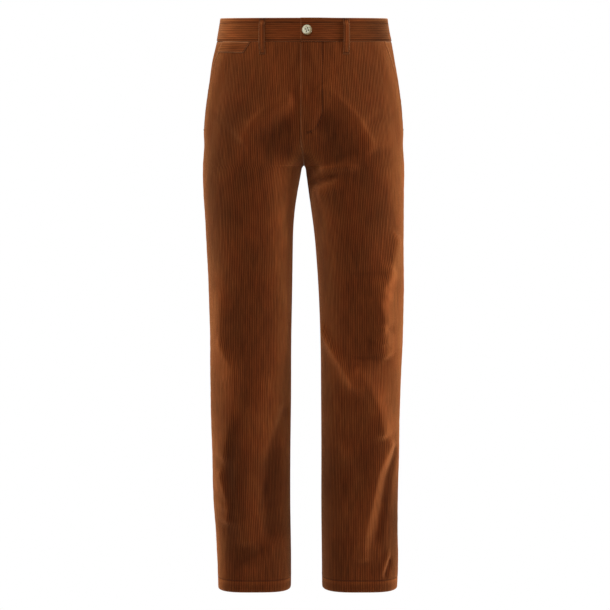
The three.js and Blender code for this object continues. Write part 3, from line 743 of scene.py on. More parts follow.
def mesh_columns(cloth, lows, highs, grains, step):
    """Where a piece's columns lie, and the first and last column that each row reaches.

    Ribs that run down need columns at fixed distances from the crease line, some of them past a row's
    ends. Elsewhere the columns divide each row evenly, from 0 to 1.
    """
    if cloth.ribs == "down":
        start = math.floor((lows - grains).min() / step)
        offsets = np.arange(start, math.ceil((highs - grains).max() / step) + 1) * step
        low_column = np.searchsorted(offsets, lows - grains, side="right") - 1
        return offsets, low_column, np.searchsorted(offsets, highs - grains, side="left")
    rows = len(lows)
    return np.linspace(0, 1, cloth.columns + 1), np.zeros(rows, int), np.full(rows, cloth.columns)


def edge_gaps(z, distance, low, high, top, bottom):
    """How far each point of a row lies from the piece's four edges."""
    return {
        "start": distance - low,
        "end": high - distance,
        "top": np.full(len(distance), top - z),
        "bottom": np.full(len(distance), z - bottom),
    }


def cloth_mesh(name, cloth, rib_pitch, rib_depth):
    """The closed mesh of a piece: a ribbed face over a plain back, joined along the edges."""
    levels = np.asarray(cloth.levels, float)
    rows = len(levels)
    lows = np.array([cloth.first(z) for z in levels])
    highs = np.array([cloth.last(z) for z in levels])
    grains = np.array([cloth.grain(z) for z in levels])
    offsets, low_column, high_column = mesh_columns(cloth, lows, highs, grains, rib_pitch / RIB_STEPS)
    columns = len(offsets)
    inner_every = BACK_COLUMN_EVERY if cloth.ribs == "down" else 1
    inner_at = np.unique(np.append(np.arange(0, columns, inner_every), columns - 1))
    shown = np.zeros((rows, columns, 3))
    hidden = np.zeros((rows, len(inner_at), 3))
    ribs, wear, relief = np.zeros((rows, columns)), np.zeros((rows, columns)), np.zeros((rows, columns))
    across_uv, along_uv = np.zeros((rows, columns)), np.zeros((rows, columns))
    top, bottom = levels[0], levels[-1]
    for r, z in enumerate(levels):
        if cloth.ribs == "down":
            u = np.clip(offsets, lows[r] - grains[r], highs[r] - grains[r])
            d = u + grains[r]
            place = u / rib_pitch
            across_uv[r], along_uv[r] = u, z
        else:
            d = lows[r] + (highs[r] - lows[r]) * offsets
            place = np.full(columns, (top - z) / rib_pitch)
            across_uv[r], along_uv[r] = z, d
        base = base_points(cloth.side, z, d)
        normal = base_normals(cloth.side, z, d, cloth.first, cloth.last)
        plain = cloth.height(z, d)
        # Painted light and shade: paler on crease ridges, darker in hollows, at the crotch and between the
        # legs, plus the piece's painted tone
        tone = creases(cloth.side, z, d) / CREASE_PAINTED_LIGHT_REACH - shade_between(cloth.side, z, d) + cloth.tone(z, d)
        relief[r] = np.clip(tone, *PAINTED_LIGHT_RANGE)
        gaps = edge_gaps(z, d, lows[r], highs[r], top, bottom)
        apart = float(smooth(abs(z - CROTCH_Z) / CROTCH_ROLL_FADE))
        turned = sum(edge_roll(gaps[edge], radius * (apart if edge in ("start", "end") else 1))
                     for edge, radius in cloth.roll.items())
        fade = np.ones(columns)
        for edge, gap in gaps.items():
            fade = fade * smooth(gap / RIB_EDGE_FADE)
            wear[r] = np.maximum(wear[r], np.exp(-gap / WEAR_REACH) * cloth.rubbed(z, d))
        if cloth.rippled:
            for edge in ("start", "end"):
                plain = plain + seam_pucker(z, gaps[edge])
        groove = cloth.grooves(z, d) if cloth.grooves else np.zeros(columns)
        ribs[r] = rib_shape(place) * fade * (1 - RIB_PRESSED * groove)
        raised = plain - turned - GROOVE_DEPTH * groove + rib_depth * (ribs[r] - RIB_MIDDLE)
        shown[r] = base + normal * raised[:, None]
        thickness = cloth.thickness(z)
        back = plain - thickness + np.minimum(BACK_ROLL * thickness, turned)
        hidden[r] = (base + normal * back[:, None])[inner_at]
        if cloth.meets_middle and z > CROTCH_Z:
            at_edge = d <= lows[r] + 1e-6
            shown[r, at_edge, 0] = hidden[r, at_edge[inner_at], 0] = cloth.side * lows[r]
    marks = {
        "rib": (ribs, 0.5),
        "wear": (wear, 0),
        "relief": (relief, 0),
        "inside": (np.zeros_like(ribs), 1),
    }
    return stitch_wall(name, shown, hidden, inner_at, low_column, high_column, marks, across_uv, along_uv)


def stitch_wall(name, shown, hidden, inner_at, low_column, high_column, marks, across_uv, along_uv):
    """Joins the face and the back of a piece into one closed mesh, with its UV map and attributes."""
    rows, columns = shown.shape[:2]
    inner_columns = len(inner_at)
    held = np.clip(np.arange(columns)[None, :], low_column[:, None], high_column[:, None])
    face_id = np.arange(rows)[:, None] * columns + held
    inner_low = np.searchsorted(inner_at, low_column, side="right") - 1
    inner_high = np.searchsorted(inner_at, high_column, side="left")
    inner_held = np.clip(np.arange(inner_columns)[None, :], inner_low[:, None], inner_high[:, None])
    back_id = rows * columns + np.arange(rows)[:, None] * inner_columns + inner_held

    def quads(ids):
        return np.stack([ids[:-1, :-1], ids[1:, :-1], ids[1:, 1:], ids[:-1, 1:]], axis=-1).reshape(-1, 4)

    faces = quads(face_id).tolist() + quads(back_id)[:, ::-1].tolist()
    for f, b, turn in ((face_id[:, 0], back_id[:, 0], -1), (face_id[:, -1], back_id[:, -1], 1)):
        rim = np.stack([f[:-1], f[1:], b[1:], b[:-1]], axis=-1)[:, ::turn]
        faces += rim.tolist()
    for row, turn in ((0, 1), (rows - 1, -1)):
        for k in range(inner_columns - 1):
            edge = face_id[row, inner_at[k]:inner_at[k + 1] + 1].tolist()
            faces.append((edge + [back_id[row, k + 1], back_id[row, k]])[::turn])
    points = np.concatenate([shown.reshape(-1, 3), hidden.reshape(-1, 3)]) * MM
    kept = []
    for face in faces:
        corners = [v for i, v in enumerate(face) if v != face[i - 1]]
        if len(set(corners)) >= 3:
            kept.append(corners)
    used, corners_flat = np.unique(np.concatenate([np.array(f) for f in kept]), return_inverse=True)
    counts = np.array([len(f) for f in kept])
    starts = np.concatenate([[0], np.cumsum(counts)[:-1]])
    renamed = [corners_flat[a:a + n].tolist() for a, n in zip(starts, counts)]
    mesh = bpy.data.meshes.new(name)
    mesh.from_pydata(points[used].tolist(), [], renamed)
    for label, (on_face, on_back) in marks.items():
        column = np.append(on_face.ravel(), np.full(rows * inner_columns, on_back))
        layer = mesh.attributes.new(label, "FLOAT", "POINT")
        layer.data.foreach_set("value", column[used].astype(np.float32))
    uv = np.stack([
        np.concatenate([across_uv.ravel(), across_uv[:, inner_at].ravel()]),
        np.concatenate([along_uv.ravel(), along_uv[:, inner_at].ravel()]),
    ], axis=-1)[used] * MM
    corner_vertex = np.zeros(len(mesh.loops), np.int32)
    mesh.loops.foreach_get("vertex_index", corner_vertex)
    mesh.uv_layers.new(name="cloth").data.foreach_set("uv", uv[corner_vertex].astype(np.float32).ravel())
    return face_outwards(mesh)


SHARP_ANGLE = math.radians(62)


def face_outwards(mesh):
    """Turns a closed mesh's faces outwards and shades it smooth between its sharp edges."""
    work = bmesh.new()
    work.from_mesh(mesh)
    if work.calc_volume(signed=True) < 0:
        bmesh.ops.reverse_faces(work, faces=work.faces)
    work.to_mesh(mesh)
    work.free()
    mesh.shade_smooth()
    mesh.set_sharp_from_angle(angle=SHARP_ANGLE)
    return mesh


def place(mesh, material):
    """A piece in the scene with its material, riding on the part's body."""
    piece = bpy.data.objects.new(mesh.name, mesh)
    bpy.context.scene.collection.objects.link(piece)
    mesh.materials.clear()
    mesh.materials.append(material)
    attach(piece, BODY)
    return piece


def spaced(start, end, gap):
    """Levels from start down to end, about gap apart."""
    return np.linspace(start, end, max(2, int(round(abs(end - start) / gap)) + 1))


def joined(*parts):
    """Levels of several parts together, from the top down."""
    return np.array(sorted(set(np.round(np.concatenate(parts), 4)), reverse=True))


def panel_levels(gap):
    """Levels of a leg panel, closer at the crotch, at the hem's stitching and at both ends."""
    return joined(
        PANEL_TOP_Z - np.array([0, 0.3, 0.8, 1.6, 3]),
        spaced(PANEL_TOP_Z - 5, CROTCH_Z + 30, gap),
        CROTCH_Z + np.array([25, 20, 16, 12, 9, 6.5, 4.5, 3, 1.8, 0.9, 0.3, 0]),
        CROTCH_Z - np.array([1, 2.5, 5, 8, 12, 16]),
        spaced(CROTCH_Z - 20, HEM_STITCH_Z + 5, gap),
        HEM_STITCH_Z + np.array([2.4, 1.2, 0, -1.2, -2.4]),
        spaced(HEM_STITCH_Z - 5, HEM_Z + 5, 4),
        HEM_Z + np.array([3, 1.6, 0.8, 0.3, 0]),
    )


def front_cloth(side, settings):
    return Cloth(
        side=side,
        levels=panel_levels(settings.row_gap / MM),
        first=lambda z: front_start(side, z),
        last=lambda z: pocket_edge(side, z),
        lift=lambda z, d: front_lift(side, z, d),
        thickness=hem_thickness,
        roll={"start": 1.0, "end": 1.0, "top": 1.0, "bottom": 1.2},
        grooves=lambda z, d: front_grooves(side, z, d),
        rippled=True,
        meets_middle=True,
        rubbed=lambda z, d: 0.8 - 0.6 * smooth((z - PANEL_TOP_Z + 6) / 4),
        tone=lambda z, d: front_painted_light(side, z, d),
    )


def line_groove(gap):
    """1 under a row of stitches, fading to 0 beside it."""
    return np.exp(-((gap / GROOVE_REACH) ** 2))


def fly_stitch_distance(z):
    """The fly's row of stitches: straight down, then curving in to the fly's edge."""
    if z > FLY_STITCH_TURN_Z:
        return float(FLY_STITCH_X)
    share = (FLY_STITCH_TURN_Z - z) / (FLY_STITCH_TURN_Z - FLY_STITCH_END_Z)
    return FLY_STITCH_X * math.sqrt(max(0, 1 - share ** 2))


def front_grooves(side, z, distance):
    groove = line_groove(np.full_like(distance, z - HEM_STITCH_Z))
    if z > POCKET_END_Z:
        groove = np.maximum(groove, line_groove(pocket_edge(side, z) - distance - POCKET_STITCH_IN))
    if side == LEFT and z > FLY_STITCH_END_Z:
        groove = np.maximum(groove, line_groove(distance - fly_stitch_distance(z)))
    return groove


def back_cloth(side, settings):
    return Cloth(
        side=side,
        levels=panel_levels(settings.row_gap / MM),
        first=lambda z: Section.at(side, z).side + HALF_GAP,
        last=lambda z: back_end(side, z),
        lift=flat_lift,
        thickness=hem_thickness,
        on_back=True,
        roll={"start": 1.0, "end": 1.0, "top": 1.0, "bottom": 1.2},
        grooves=lambda z, d: line_groove(np.full_like(d, z - HEM_STITCH_Z)),
        rippled=True,
    )


def facing_cloth(side):
    return Cloth(
        side=side,
        levels=spaced(PANEL_TOP_Z, POCKET_END_Z + 8, 3),
        first=lambda z: pocket_edge(side, z) - FACING_UNDERLAP,
        last=lambda z: Section.at(side, z).side - HALF_GAP,
        lift=flat_lift,
        thickness=lambda z: CLOTH,
        roll={"end": 1.0, "top": 1.0},
    )


def band_painted_light(side, z, distance):
    """Painted light and shade: the right half's front and the strip over the top stitching are painted paler,
    and the left hip is painted darker.
    """
    strip = BAND_STRIP_PAINTED_HIGHLIGHT * float(smooth(z + BAND_TOP_STITCH))
    if side == RIGHT:
        return BAND_PAINTED_LIGHT * smooth((BAND_PALE_REACH - distance) / BAND_TONE_FADE) + strip
    start, end = BAND_HIP
    hip = smooth((distance - start) / BAND_TONE_FADE) * smooth((end - distance) / BAND_TONE_FADE)
    return BAND_LEFT_PAINTED_LIGHT + BAND_HIP_PAINTED_SHADE * hip + strip


def band_grooves(z, distance):
    nearest = min(abs(z + BAND_TOP_STITCH), abs(z + BAND_HEIGHT - BAND_LOW_STITCH))
    return line_groove(np.full_like(distance, nearest))


EDGE_LEVELS = np.array([0.3, 0.7])


def band_cloth(side, rib_pitch):
    return Cloth(
        side=side,
        levels=joined(
            spaced(0, -BAND_HEIGHT, rib_pitch / RIB_STEPS),
            -EDGE_LEVELS,
            EDGE_LEVELS - BAND_HEIGHT,
            [PANEL_TOP_Z + WAIST_SEAM_GAP],
        ),
        first=lambda z: -FLY_EDGE_X if side == LEFT else -BAND_UNDERLAP,
        last=lambda z: Section.at(side, z).total - MIDDLE_HALF_GAP,
        lift=lambda z, d: band_lift(side, d),
        thickness=lambda z: BAND_CLOTH,
        ribs="across",
        columns=BAND_COLUMNS,
        roll={"top": 1.5, "bottom": 1.0, "start": 1.2},
        grooves=band_grooves,
        rubbed=lambda z, d: (0.25 + 0.75 * smooth((d - 70) / 50)) * smooth((z + BAND_HEIGHT - 3) / 4),
        tone=lambda z, d: band_painted_light(side, z, d),
    )


def welt_cloth():
    top = PANEL_TOP_Z - WELT_DOWN
    return Cloth(
        side=RIGHT,
        levels=spaced(top, top - WELT_HEIGHT, 0.8),
        first=lambda z: pocket_edge(RIGHT, z) - WELT_IN - WELT_WIDTH,
        last=lambda z: pocket_edge(RIGHT, z) - WELT_IN,
        lift=lambda z, d: front_lift(RIGHT, z, d) + WELT_GAP + WELT_CLOTH,
        thickness=lambda z: WELT_CLOTH,
        ribs="across",
        columns=WELT_COLUMNS,
        roll={"top": 0.8, "bottom": 0.8, "start": 0.8, "end": 0.8},
        rippled=True,
        rubbed=lambda z, d: 1.5,
        # The welt is painted paler
        tone=lambda z, d: 0.7,
    )


def loop_cloth(side, middle, panel_lift):
    """A belt loop about a middle line, tacked at both ends and clear of the waistband between."""

    def stand_off(z):
        leaving = smooth((LOOP_TOP_Z - LOOP_TACK - z) / 9)
        return LOOP_STAND_OFF * float(leaving * smooth((z - LOOP_BOTTOM_Z - LOOP_TACK) / 11))

    def under(z, d):
        on_panel = smooth((PANEL_TOP_Z + 2 - z) / 9)
        return BAND_LIFT + (panel_lift(z, d) - BAND_LIFT) * on_panel

    return Cloth(
        side=side,
        levels=joined(
            spaced(LOOP_TOP_Z, LOOP_BOTTOM_Z, 1.5),
            LOOP_TOP_Z - np.array([0.3, 0.8]),
            LOOP_BOTTOM_Z + np.array([0.3, 0.8]),
        ),
        first=lambda z: middle(z) - LOOP_WIDTH / 2,
        last=lambda z: middle(z) + LOOP_WIDTH / 2,
        lift=lambda z, d: under(z, d) + SEAM_GAP + stand_off(z) + LOOP_CLOTH,
        thickness=lambda z: LOOP_CLOTH,
        roll={"start": 0.8, "end": 0.8, "top": 0.8, "bottom": 0.8},
        grooves=lambda z, d: line_groove(np.abs(d - middle(z)) - LOOP_WIDTH / 2 + LOOP_STITCH_IN),
        rubbed=lambda z, d: 0.8,
        # The loops are painted paler
        tone=lambda z, d: 1,
    )


def flat_lift(z, distance):
    return np.zeros_like(distance)


def belt_loops():
    """Each loop's name, side, middle line and the lift of the panel under it."""
    found = []
    for word, side in SIDES.items():
        found += [
            (f"front_{word}", side, lambda z, s=side: FRONT_LOOP_ACROSS[s],
             lambda z, d, s=side: front_lift(s, z, d)),
            (f"back_{word}", side, lambda z, s=side: Section.at(s, z).total - BACK_LOOP_ACROSS, flat_lift),
        ]
    return found + [("back_centre", LEFT, lambda z: Section.at(LEFT, z).total, flat_lift)]


# Materials

def new_socket(tree, name, kind, way="INPUT", default=None):
    socket = tree.interface.new_socket(name=name, in_out=way, socket_type=kind)
    if default is not None:
        socket.default_value = default
    return socket


def link_up(tree, *pairs):
    for source, target in pairs:
        tree.links.new(source, target)


def feed(tree, sockets, values):
    """Links each socket to its value, or sets it where the value is a plain one."""
    for socket, value in zip(sockets, values):
        if hasattr(value, "links"):
            tree.links.new(value, socket)
        else:
            socket.default_value = value


def set_inputs(node, values):
    for label, value in values.items():
        node.inputs[label].default_value = value


def math_node(tree, operation, first, second, clamp=False):
    node = tree.nodes.new("ShaderNodeMath")
    node.operation = operation
    node.use_clamp = clamp
    feed(tree, node.inputs, (first, second))
    return node.outputs[0]


def mix_colour(tree, factor, first, second, blend="MIX"):
    node = tree.nodes.new("ShaderNodeMix")
    node.data_type = "RGBA"
    node.blend_type = blend
    feed(tree, (node.inputs[0], node.inputs[6], node.inputs[7]), (factor, first, second))
    return node.outputs[2]


def attribute(tree, label):
    """A vertex attribute of the mesh, as a number."""
    node = tree.nodes.new("ShaderNodeAttribute")
    node.attribute_name = label
    return node.outputs["Fac"]


def blank_material(name):
    """A new material, with its node tree and its shader."""
    material = bpy.data.materials.new(name)
    material.use_nodes = True
    return material, material.node_tree, material.node_tree.nodes["Principled BSDF"]


def add_bump(tree, shader, height, strength, distance):
    bump = tree.nodes.new("ShaderNodeBump")
    set_inputs(bump, {"Strength": strength, "Distance": distance})
    link_up(tree, (height, bump.inputs["Height"]), (bump.outputs[0], shader.inputs["Normal"]))


def stretched_noise(tree, coordinates, scale, detail=2.0):
    """Noise over coordinates in metres, with its scale across and along them."""
    mapping = tree.nodes.new("ShaderNodeMapping")
    set_inputs(mapping, {"Scale": (*scale, 1)})
    noise = tree.nodes.new("ShaderNodeTexNoise")
    set_inputs(noise, {"Scale": 1, "Detail": detail})
    link_up(tree, (coordinates, mapping.inputs["Vector"]), (mapping.outputs[0], noise.inputs["Vector"]))
    return noise.outputs[0]


def centred(tree, value, strength):
    """1 on average, moved up and down by the noise."""
    moved = math_node(tree, "MULTIPLY", math_node(tree, "SUBTRACT", value, 0.5), strength)
    return math_node(tree, "ADD", moved, 1.0)


def pile_group():
    """The cut pile's colour and height: darker grooves, uneven nap, paler worn edges, and painted light and
    shade from the cloth's marks.
    """
    name = "Corduroy pile"
    if name in bpy.data.node_groups:
        return bpy.data.node_groups[name]
    tree = bpy.data.node_groups.new(name, "ShaderNodeTree")
    for label in ("Ridge colour", "Groove colour", "Worn colour", "Inside colour"):
        new_socket(tree, label, "NodeSocketColor")
    new_socket(tree, "Colour", "NodeSocketColor", "OUTPUT")
    new_socket(tree, "Height", "NodeSocketFloat", "OUTPUT")
    taken, given = tree.nodes.new("NodeGroupInput"), tree.nodes.new("NodeGroupOutput")
    uv = tree.nodes.new("ShaderNodeUVMap")
    uv.uv_map = "cloth"
    marks = {label: attribute(tree, label) for label in ("rib", "wear", "relief", "inside")}
    nap = stretched_noise(tree, uv.outputs[0], (330, 26))
    pile = stretched_noise(tree, uv.outputs[0], (2300, 1200), 3)
    patches = stretched_noise(tree, uv.outputs[0], (16, 9), 3)
    weave = stretched_noise(tree, uv.outputs[0], (1500, 2600), 1)
    colour = mix_colour(tree, marks["rib"], taken.outputs["Groove colour"], taken.outputs["Ridge colour"])
    shade = math_node(tree, "MULTIPLY", centred(tree, nap, 1.1), centred(tree, pile, 0.8))
    shade = math_node(tree, "MULTIPLY", shade, centred(tree, patches, 1.0))
    # Painted light and shade from the cloth's marks brighten or darken the colour
    lit = math_node(tree, "ADD", math_node(tree, "MULTIPLY", marks["relief"], PAINTED_LIGHT_STRENGTH), 1.0)
    shade = math_node(tree, "MULTIPLY", shade, lit)
    tone = tree.nodes.new("ShaderNodeCombineColor")
    for socket in tone.inputs:
        tree.links.new(shade, socket)
    colour = mix_colour(tree, 1.0, colour, tone.outputs[0], "MULTIPLY")
    cast = stretched_noise(tree, uv.outputs[0], (38, 17))
    hue = mix_colour(tree, cast, (1, 1.2, 1.25, 1), (1, 0.82, 0.76, 1))
    colour = mix_colour(tree, 1.0, colour, hue, "MULTIPLY")
    worn = math_node(tree, "MULTIPLY", marks["wear"], math_node(tree, "MULTIPLY", patches, 0.8), clamp=True)
    colour = mix_colour(tree, worn, colour, taken.outputs["Worn colour"])
    colour = mix_colour(tree, marks["inside"], colour, taken.outputs["Inside colour"])
    tufts = math_node(tree, "MULTIPLY", pile, 0.7)
    height = math_node(tree, "ADD", tufts, math_node(tree, "MULTIPLY", weave, 0.3))
    link_up(tree, (colour, given.inputs["Colour"]), (height, given.inputs["Height"]))
    return tree


def corduroy(settings):
    """Cotton corduroy: a rough base under the soft sheen of its pile."""
    name = "corduroy_cloth"
    if name in bpy.data.materials:
        return bpy.data.materials[name]
    material, tree, shader = blank_material(name)
    group = tree.nodes.new("ShaderNodeGroup")
    group.node_tree = pile_group()
    set_inputs(group, {
        "Ridge colour": (*settings.ridge, 1),
        "Groove colour": (*settings.groove, 1),
        "Worn colour": (*settings.worn, 1),
        "Inside colour": (*settings.inside, 1),
    })
    # Painted sheen: the base colour turns paler and warmer where the cloth is seen from the side, by the
    # angle of view alone
    turned = tree.nodes.new("ShaderNodeLayerWeight")
    set_inputs(turned, {"Blend": 0.5})
    skim = math_node(tree, "POWER", turned.outputs["Facing"], 1.5)
    gain = math_node(tree, "ADD", math_node(tree, "MULTIPLY", skim, settings.painted_sheen_gain), 1.0)
    painted_sheen = tree.nodes.new("ShaderNodeCombineColor")
    for socket, share in zip(painted_sheen.inputs, (1.0, 1.3, 1.5)):
        tree.links.new(math_node(tree, "POWER", gain, share), socket)
    colour = mix_colour(tree, 1.0, group.outputs["Colour"], painted_sheen.outputs[0], "MULTIPLY")
    set_inputs(shader, {
        "Roughness": 0.9,
        "Specular IOR Level": 0.05,
        "Sheen Weight": settings.sheen,
        "Sheen Roughness": settings.sheen_roughness,
        "Sheen Tint": (*settings.sheen_tint, 1),
    })
    link_up(tree, (colour, shader.inputs["Base Color"]))
    add_bump(tree, shader, group.outputs["Height"], 0.55, 0.0004)
    return material


def thread_material(settings, name="sewing_thread"):
    """Twisted thread with fine fibres."""
    if name in bpy.data.materials:
        return bpy.data.materials[name]
    material, tree, shader = blank_material(name)
    where = tree.nodes.new("ShaderNodeTexCoord")
    fibres = stretched_noise(tree, where.outputs["Object"], (900, 900))
    colour = mix_colour(tree, fibres, (*settings.thread_dark, 1), (*settings.thread, 1))
    set_inputs(shader, {"Roughness": 0.6, "Specular IOR Level": 0.1})
    link_up(tree, (colour, shader.inputs["Base Color"]))
    add_bump(tree, shader, fibres, 0.4, 0.0002)
    return material


def button_material(settings):
    """Pale moulded resin with faint clouding, as imitation horn has."""
    name = "button_resin"
    if name in bpy.data.materials:
        return bpy.data.materials[name]
    material, tree, shader = blank_material(name)
    where = tree.nodes.new("ShaderNodeTexCoord")
    clouds = stretched_noise(tree, where.outputs["Object"], (170, 170), 3)
    streaks = stretched_noise(tree, where.outputs["Object"], (60, 420))
    colour = mix_colour(tree, clouds, (*settings.pale, 1), (*settings.olive, 1))
    colour = mix_colour(tree, math_node(tree, "MULTIPLY", streaks, 0.25), colour, (*settings.brown, 1))
    # Painted shade from the marks: brown at the rim, the dish edge and the lower right, dark in the holes
    for label, shade in (("brown", settings.brown), ("dark", settings.dark)):
        colour = mix_colour(tree, attribute(tree, label), colour, (*shade, 1))
    scratches = stretched_noise(tree, where.outputs["Object"], (900, 2400), 3)
    roughness = math_node(tree, "ADD", math_node(tree, "MULTIPLY", scratches, 0.3), 0.2)
    set_inputs(shader, {"Coat Weight": 0.25, "Subsurface Weight": 0.08})
    link_up(tree, (colour, shader.inputs["Base Color"]), (roughness, shader.inputs["Roughness"]))
    add_bump(tree, shader, scratches, 0.15, 0.00005)
    return material


# Geometry Nodes trees for rows of stitches and for wound thread

def geometry_tree(name):
    """A tree that takes and gives geometry, with inputs for the thread's radius and material."""
    tree = bpy.data.node_groups.new(name, "GeometryNodeTree")
    new_socket(tree, "Geometry", "NodeSocketGeometry")
    new_socket(tree, "Geometry", "NodeSocketGeometry", "OUTPUT")
    new_socket(tree, "Thread Radius", "NodeSocketFloat", default=0.0003)
    new_socket(tree, "Material", "NodeSocketMaterial")
    return tree, tree.nodes.new("NodeGroupInput"), tree.nodes.new("NodeGroupOutput")


def stitch_tree():
    """Rounded stitches set end to end along a curve."""
    name = "Stitch row"
    if name in bpy.data.node_groups:
        return bpy.data.node_groups[name]
    tree, taken, given = geometry_tree(name)
    new_socket(tree, "Spacing", "NodeSocketFloat", default=0.003)
    new_socket(tree, "Stitch Length", "NodeSocketFloat", default=0.0024)
    new_socket(tree, "Seed", "NodeSocketInt", default=STITCH_SEED)
    points = tree.nodes.new("GeometryNodeCurveToPoints")
    points.mode = "LENGTH"
    turn = tree.nodes.new("FunctionNodeAlignRotationToVector")
    turn.axis = "X"
    ball = tree.nodes.new("GeometryNodeMeshUVSphere")
    set_inputs(ball, {"Segments": 6, "Rings": 4, "Radius": 1})
    half = tree.nodes.new("ShaderNodeMath")
    half.operation = "MULTIPLY"
    half.inputs[1].default_value = 0.5
    size = tree.nodes.new("ShaderNodeCombineXYZ")
    stretch = tree.nodes.new("GeometryNodeTransform")
    soft = tree.nodes.new("GeometryNodeSetShadeSmooth")
    vary = tree.nodes.new("FunctionNodeRandomValue")
    vary.data_type = "FLOAT"
    vary.inputs[2].default_value = 0.86
    vary.inputs[3].default_value = 1.12
    copies = tree.nodes.new("GeometryNodeInstanceOnPoints")
    real = tree.nodes.new("GeometryNodeRealizeInstances")
    finish = tree.nodes.new("GeometryNodeSetMaterial")
    link_up(
        tree,
        (taken.outputs["Geometry"], points.inputs["Curve"]),
        (taken.outputs["Spacing"], points.inputs["Length"]),
        (points.outputs["Tangent"], turn.inputs["Vector"]),
        (taken.outputs["Stitch Length"], half.inputs[0]),
        (half.outputs[0], size.inputs["X"]),
        (taken.outputs["Thread Radius"], size.inputs["Y"]),
        (taken.outputs["Thread Radius"], size.inputs["Z"]),
        (ball.outputs["Mesh"], stretch.inputs["Geometry"]),
        (size.outputs[0], stretch.inputs["Scale"]),
        (stretch.outputs[0], soft.inputs[0]),
        (points.outputs["Points"], copies.inputs["Points"]),
        (soft.outputs[0], copies.inputs["Instance"]),
        (turn.outputs[0], copies.inputs["Rotation"]),
        (taken.outputs["Seed"], vary.inputs["Seed"]),
        (vary.outputs[1], copies.inputs["Scale"]),
        (copies.outputs[0], real.inputs[0]),
        (real.outputs[0], finish.inputs["Geometry"]),
        (taken.outputs["Material"], finish.inputs["Material"]),
        (finish.outputs[0], given.inputs["Geometry"]),
    )
    return tree


def thread_tree():
    """A round thread along a curve."""
    name = "Wound thread"
    if name in bpy.data.node_groups:
        return bpy.data.node_groups[name]
    tree, taken, given = geometry_tree(name)
    ring = tree.nodes.new("GeometryNodeCurvePrimitiveCircle")
    set_inputs(ring, {"Resolution": 6})
    sweep = tree.nodes.new("GeometryNodeCurveToMesh")
    set_inputs(sweep, {"Fill Caps": True})
    soft = tree.nodes.new("GeometryNodeSetShadeSmooth")
    real = tree.nodes.new("GeometryNodeRealizeInstances")
    finish = tree.nodes.new("GeometryNodeSetMaterial")
    link_up(
        tree,
        (taken.outputs["Geometry"], sweep.inputs["Curve"]),
        (taken.outputs["Thread Radius"], ring.inputs["Radius"]),
        (ring.outputs[0], sweep.inputs["Profile Curve"]),
        (sweep.outputs[0], soft.inputs[0]),
        (soft.outputs[0], real.inputs[0]),
        (real.outputs[0], finish.inputs["Geometry"]),
        (taken.outputs["Material"], finish.inputs["Material"]),
        (finish.outputs[0], given.inputs["Geometry"]),
    )
    return tree


def sewn_along(name, lines, tree, **inputs):
    """Runs a Geometry Nodes tree along lines of points and keeps the result as a plain mesh."""
    curve = bpy.data.curves.new(name + "_lines", "CURVE")
    curve.dimensions = "3D"
    for line in lines:
        spline = curve.splines.new("POLY")
        spline.points.add(len(line) - 1)
        spline.points.foreach_set("co", np.column_stack([np.asarray(line) * MM, np.ones(len(line))]).ravel())
    guide = bpy.data.objects.new(name + "_guide", curve)
    bpy.context.scene.collection.objects.link(guide)
    modifier = guide.modifiers.new(name, "NODES")
    modifier.node_group = tree
    sockets = {item.name: item.identifier for item in tree.interface.items_tree if item.in_out == "INPUT"}
    for label, value in inputs.items():
        modifier[sockets[label.replace("_", " ")]] = value
    graph = bpy.context.evaluated_depsgraph_get()
    mesh = bpy.data.meshes.new_from_object(guide.evaluated_get(graph), depsgraph=graph)
    mesh.name = name
    bpy.data.objects.remove(guide)
    bpy.data.curves.remove(curve)
    if not mesh.polygons:
        raise RuntimeError(f"{name} came out empty")
    return mesh


# Sizes and colours that a user would change

def linear(red, green, blue):
    """A colour from its 0 to 255 values on a screen, none of them under 11."""
    return tuple(((value / 255 + 0.055) / 1.055) ** 2.4 for value in (red, green, blue))


def colour_property(label, purpose, colour):
    return bpy.props.FloatVectorProperty(
        name=label, description=purpose, subtype="COLOR", size=3, min=0, max=1, default=colour)


def length_property(label, purpose, size):
    return bpy.props.FloatProperty(
        name=label, description=purpose, unit="LENGTH", subtype="DISTANCE", min=0, default=size)


class ClothSettings(bpy.types.PropertyGroup):
    """The corduroy's ribs and colours."""

    rib_pitch: length_property("Rib pitch", "Distance from one rib to the next", 0.0032)
    rib_depth: length_property("Rib depth", "Height of a rib over its groove", 0.0005)
    row_gap: length_property("Row gap", "Distance between mesh rows down the legs", 0.006)
    ridge: colour_property("Ridge colour", "Pile on top of the ribs", (0.13, 0.0290, 0.0064))
    groove: colour_property("Groove colour", "Ground between the ribs", (0.034, 0.0073, 0.0015))
    worn: colour_property("Worn colour", "Pile rubbed pale along edges", linear(150, 92, 56))
    inside: colour_property("Inside colour", "Smooth back of the cloth", linear(82, 46, 30))
    # The strength of the painted sheen in the base colour where the cloth is seen from the side
    painted_sheen_gain: bpy.props.FloatProperty(
        name="Nap gain", description="How much paler the pile is where it is seen from the side", default=4.0)
    sheen: bpy.props.FloatProperty(name="Sheen", description="Strength of the pile's sheen", default=0.7)
    sheen_roughness: bpy.props.FloatProperty(
        name="Sheen roughness", description="Spread of the sheen", default=0.4)
    sheen_tint: colour_property("Sheen colour", "Colour of light that skims the pile", (0.95, 0.39, 0.19))


class StitchSettings(bpy.types.PropertyGroup):
    """The sewing thread."""

    spacing: length_property("Stitch spacing", "Distance from one stitch to the next", 0.0030)
    length: length_property("Stitch length", "Length of one stitch", 0.0025)
    radius: length_property("Thread radius", "Half the thread's thickness", 0.00028)
    thread: colour_property("Thread colour", "Lit side of the thread", linear(100, 54, 29))
    thread_dark: colour_property("Thread shade", "Dark fibres of the thread", linear(64, 32, 15))


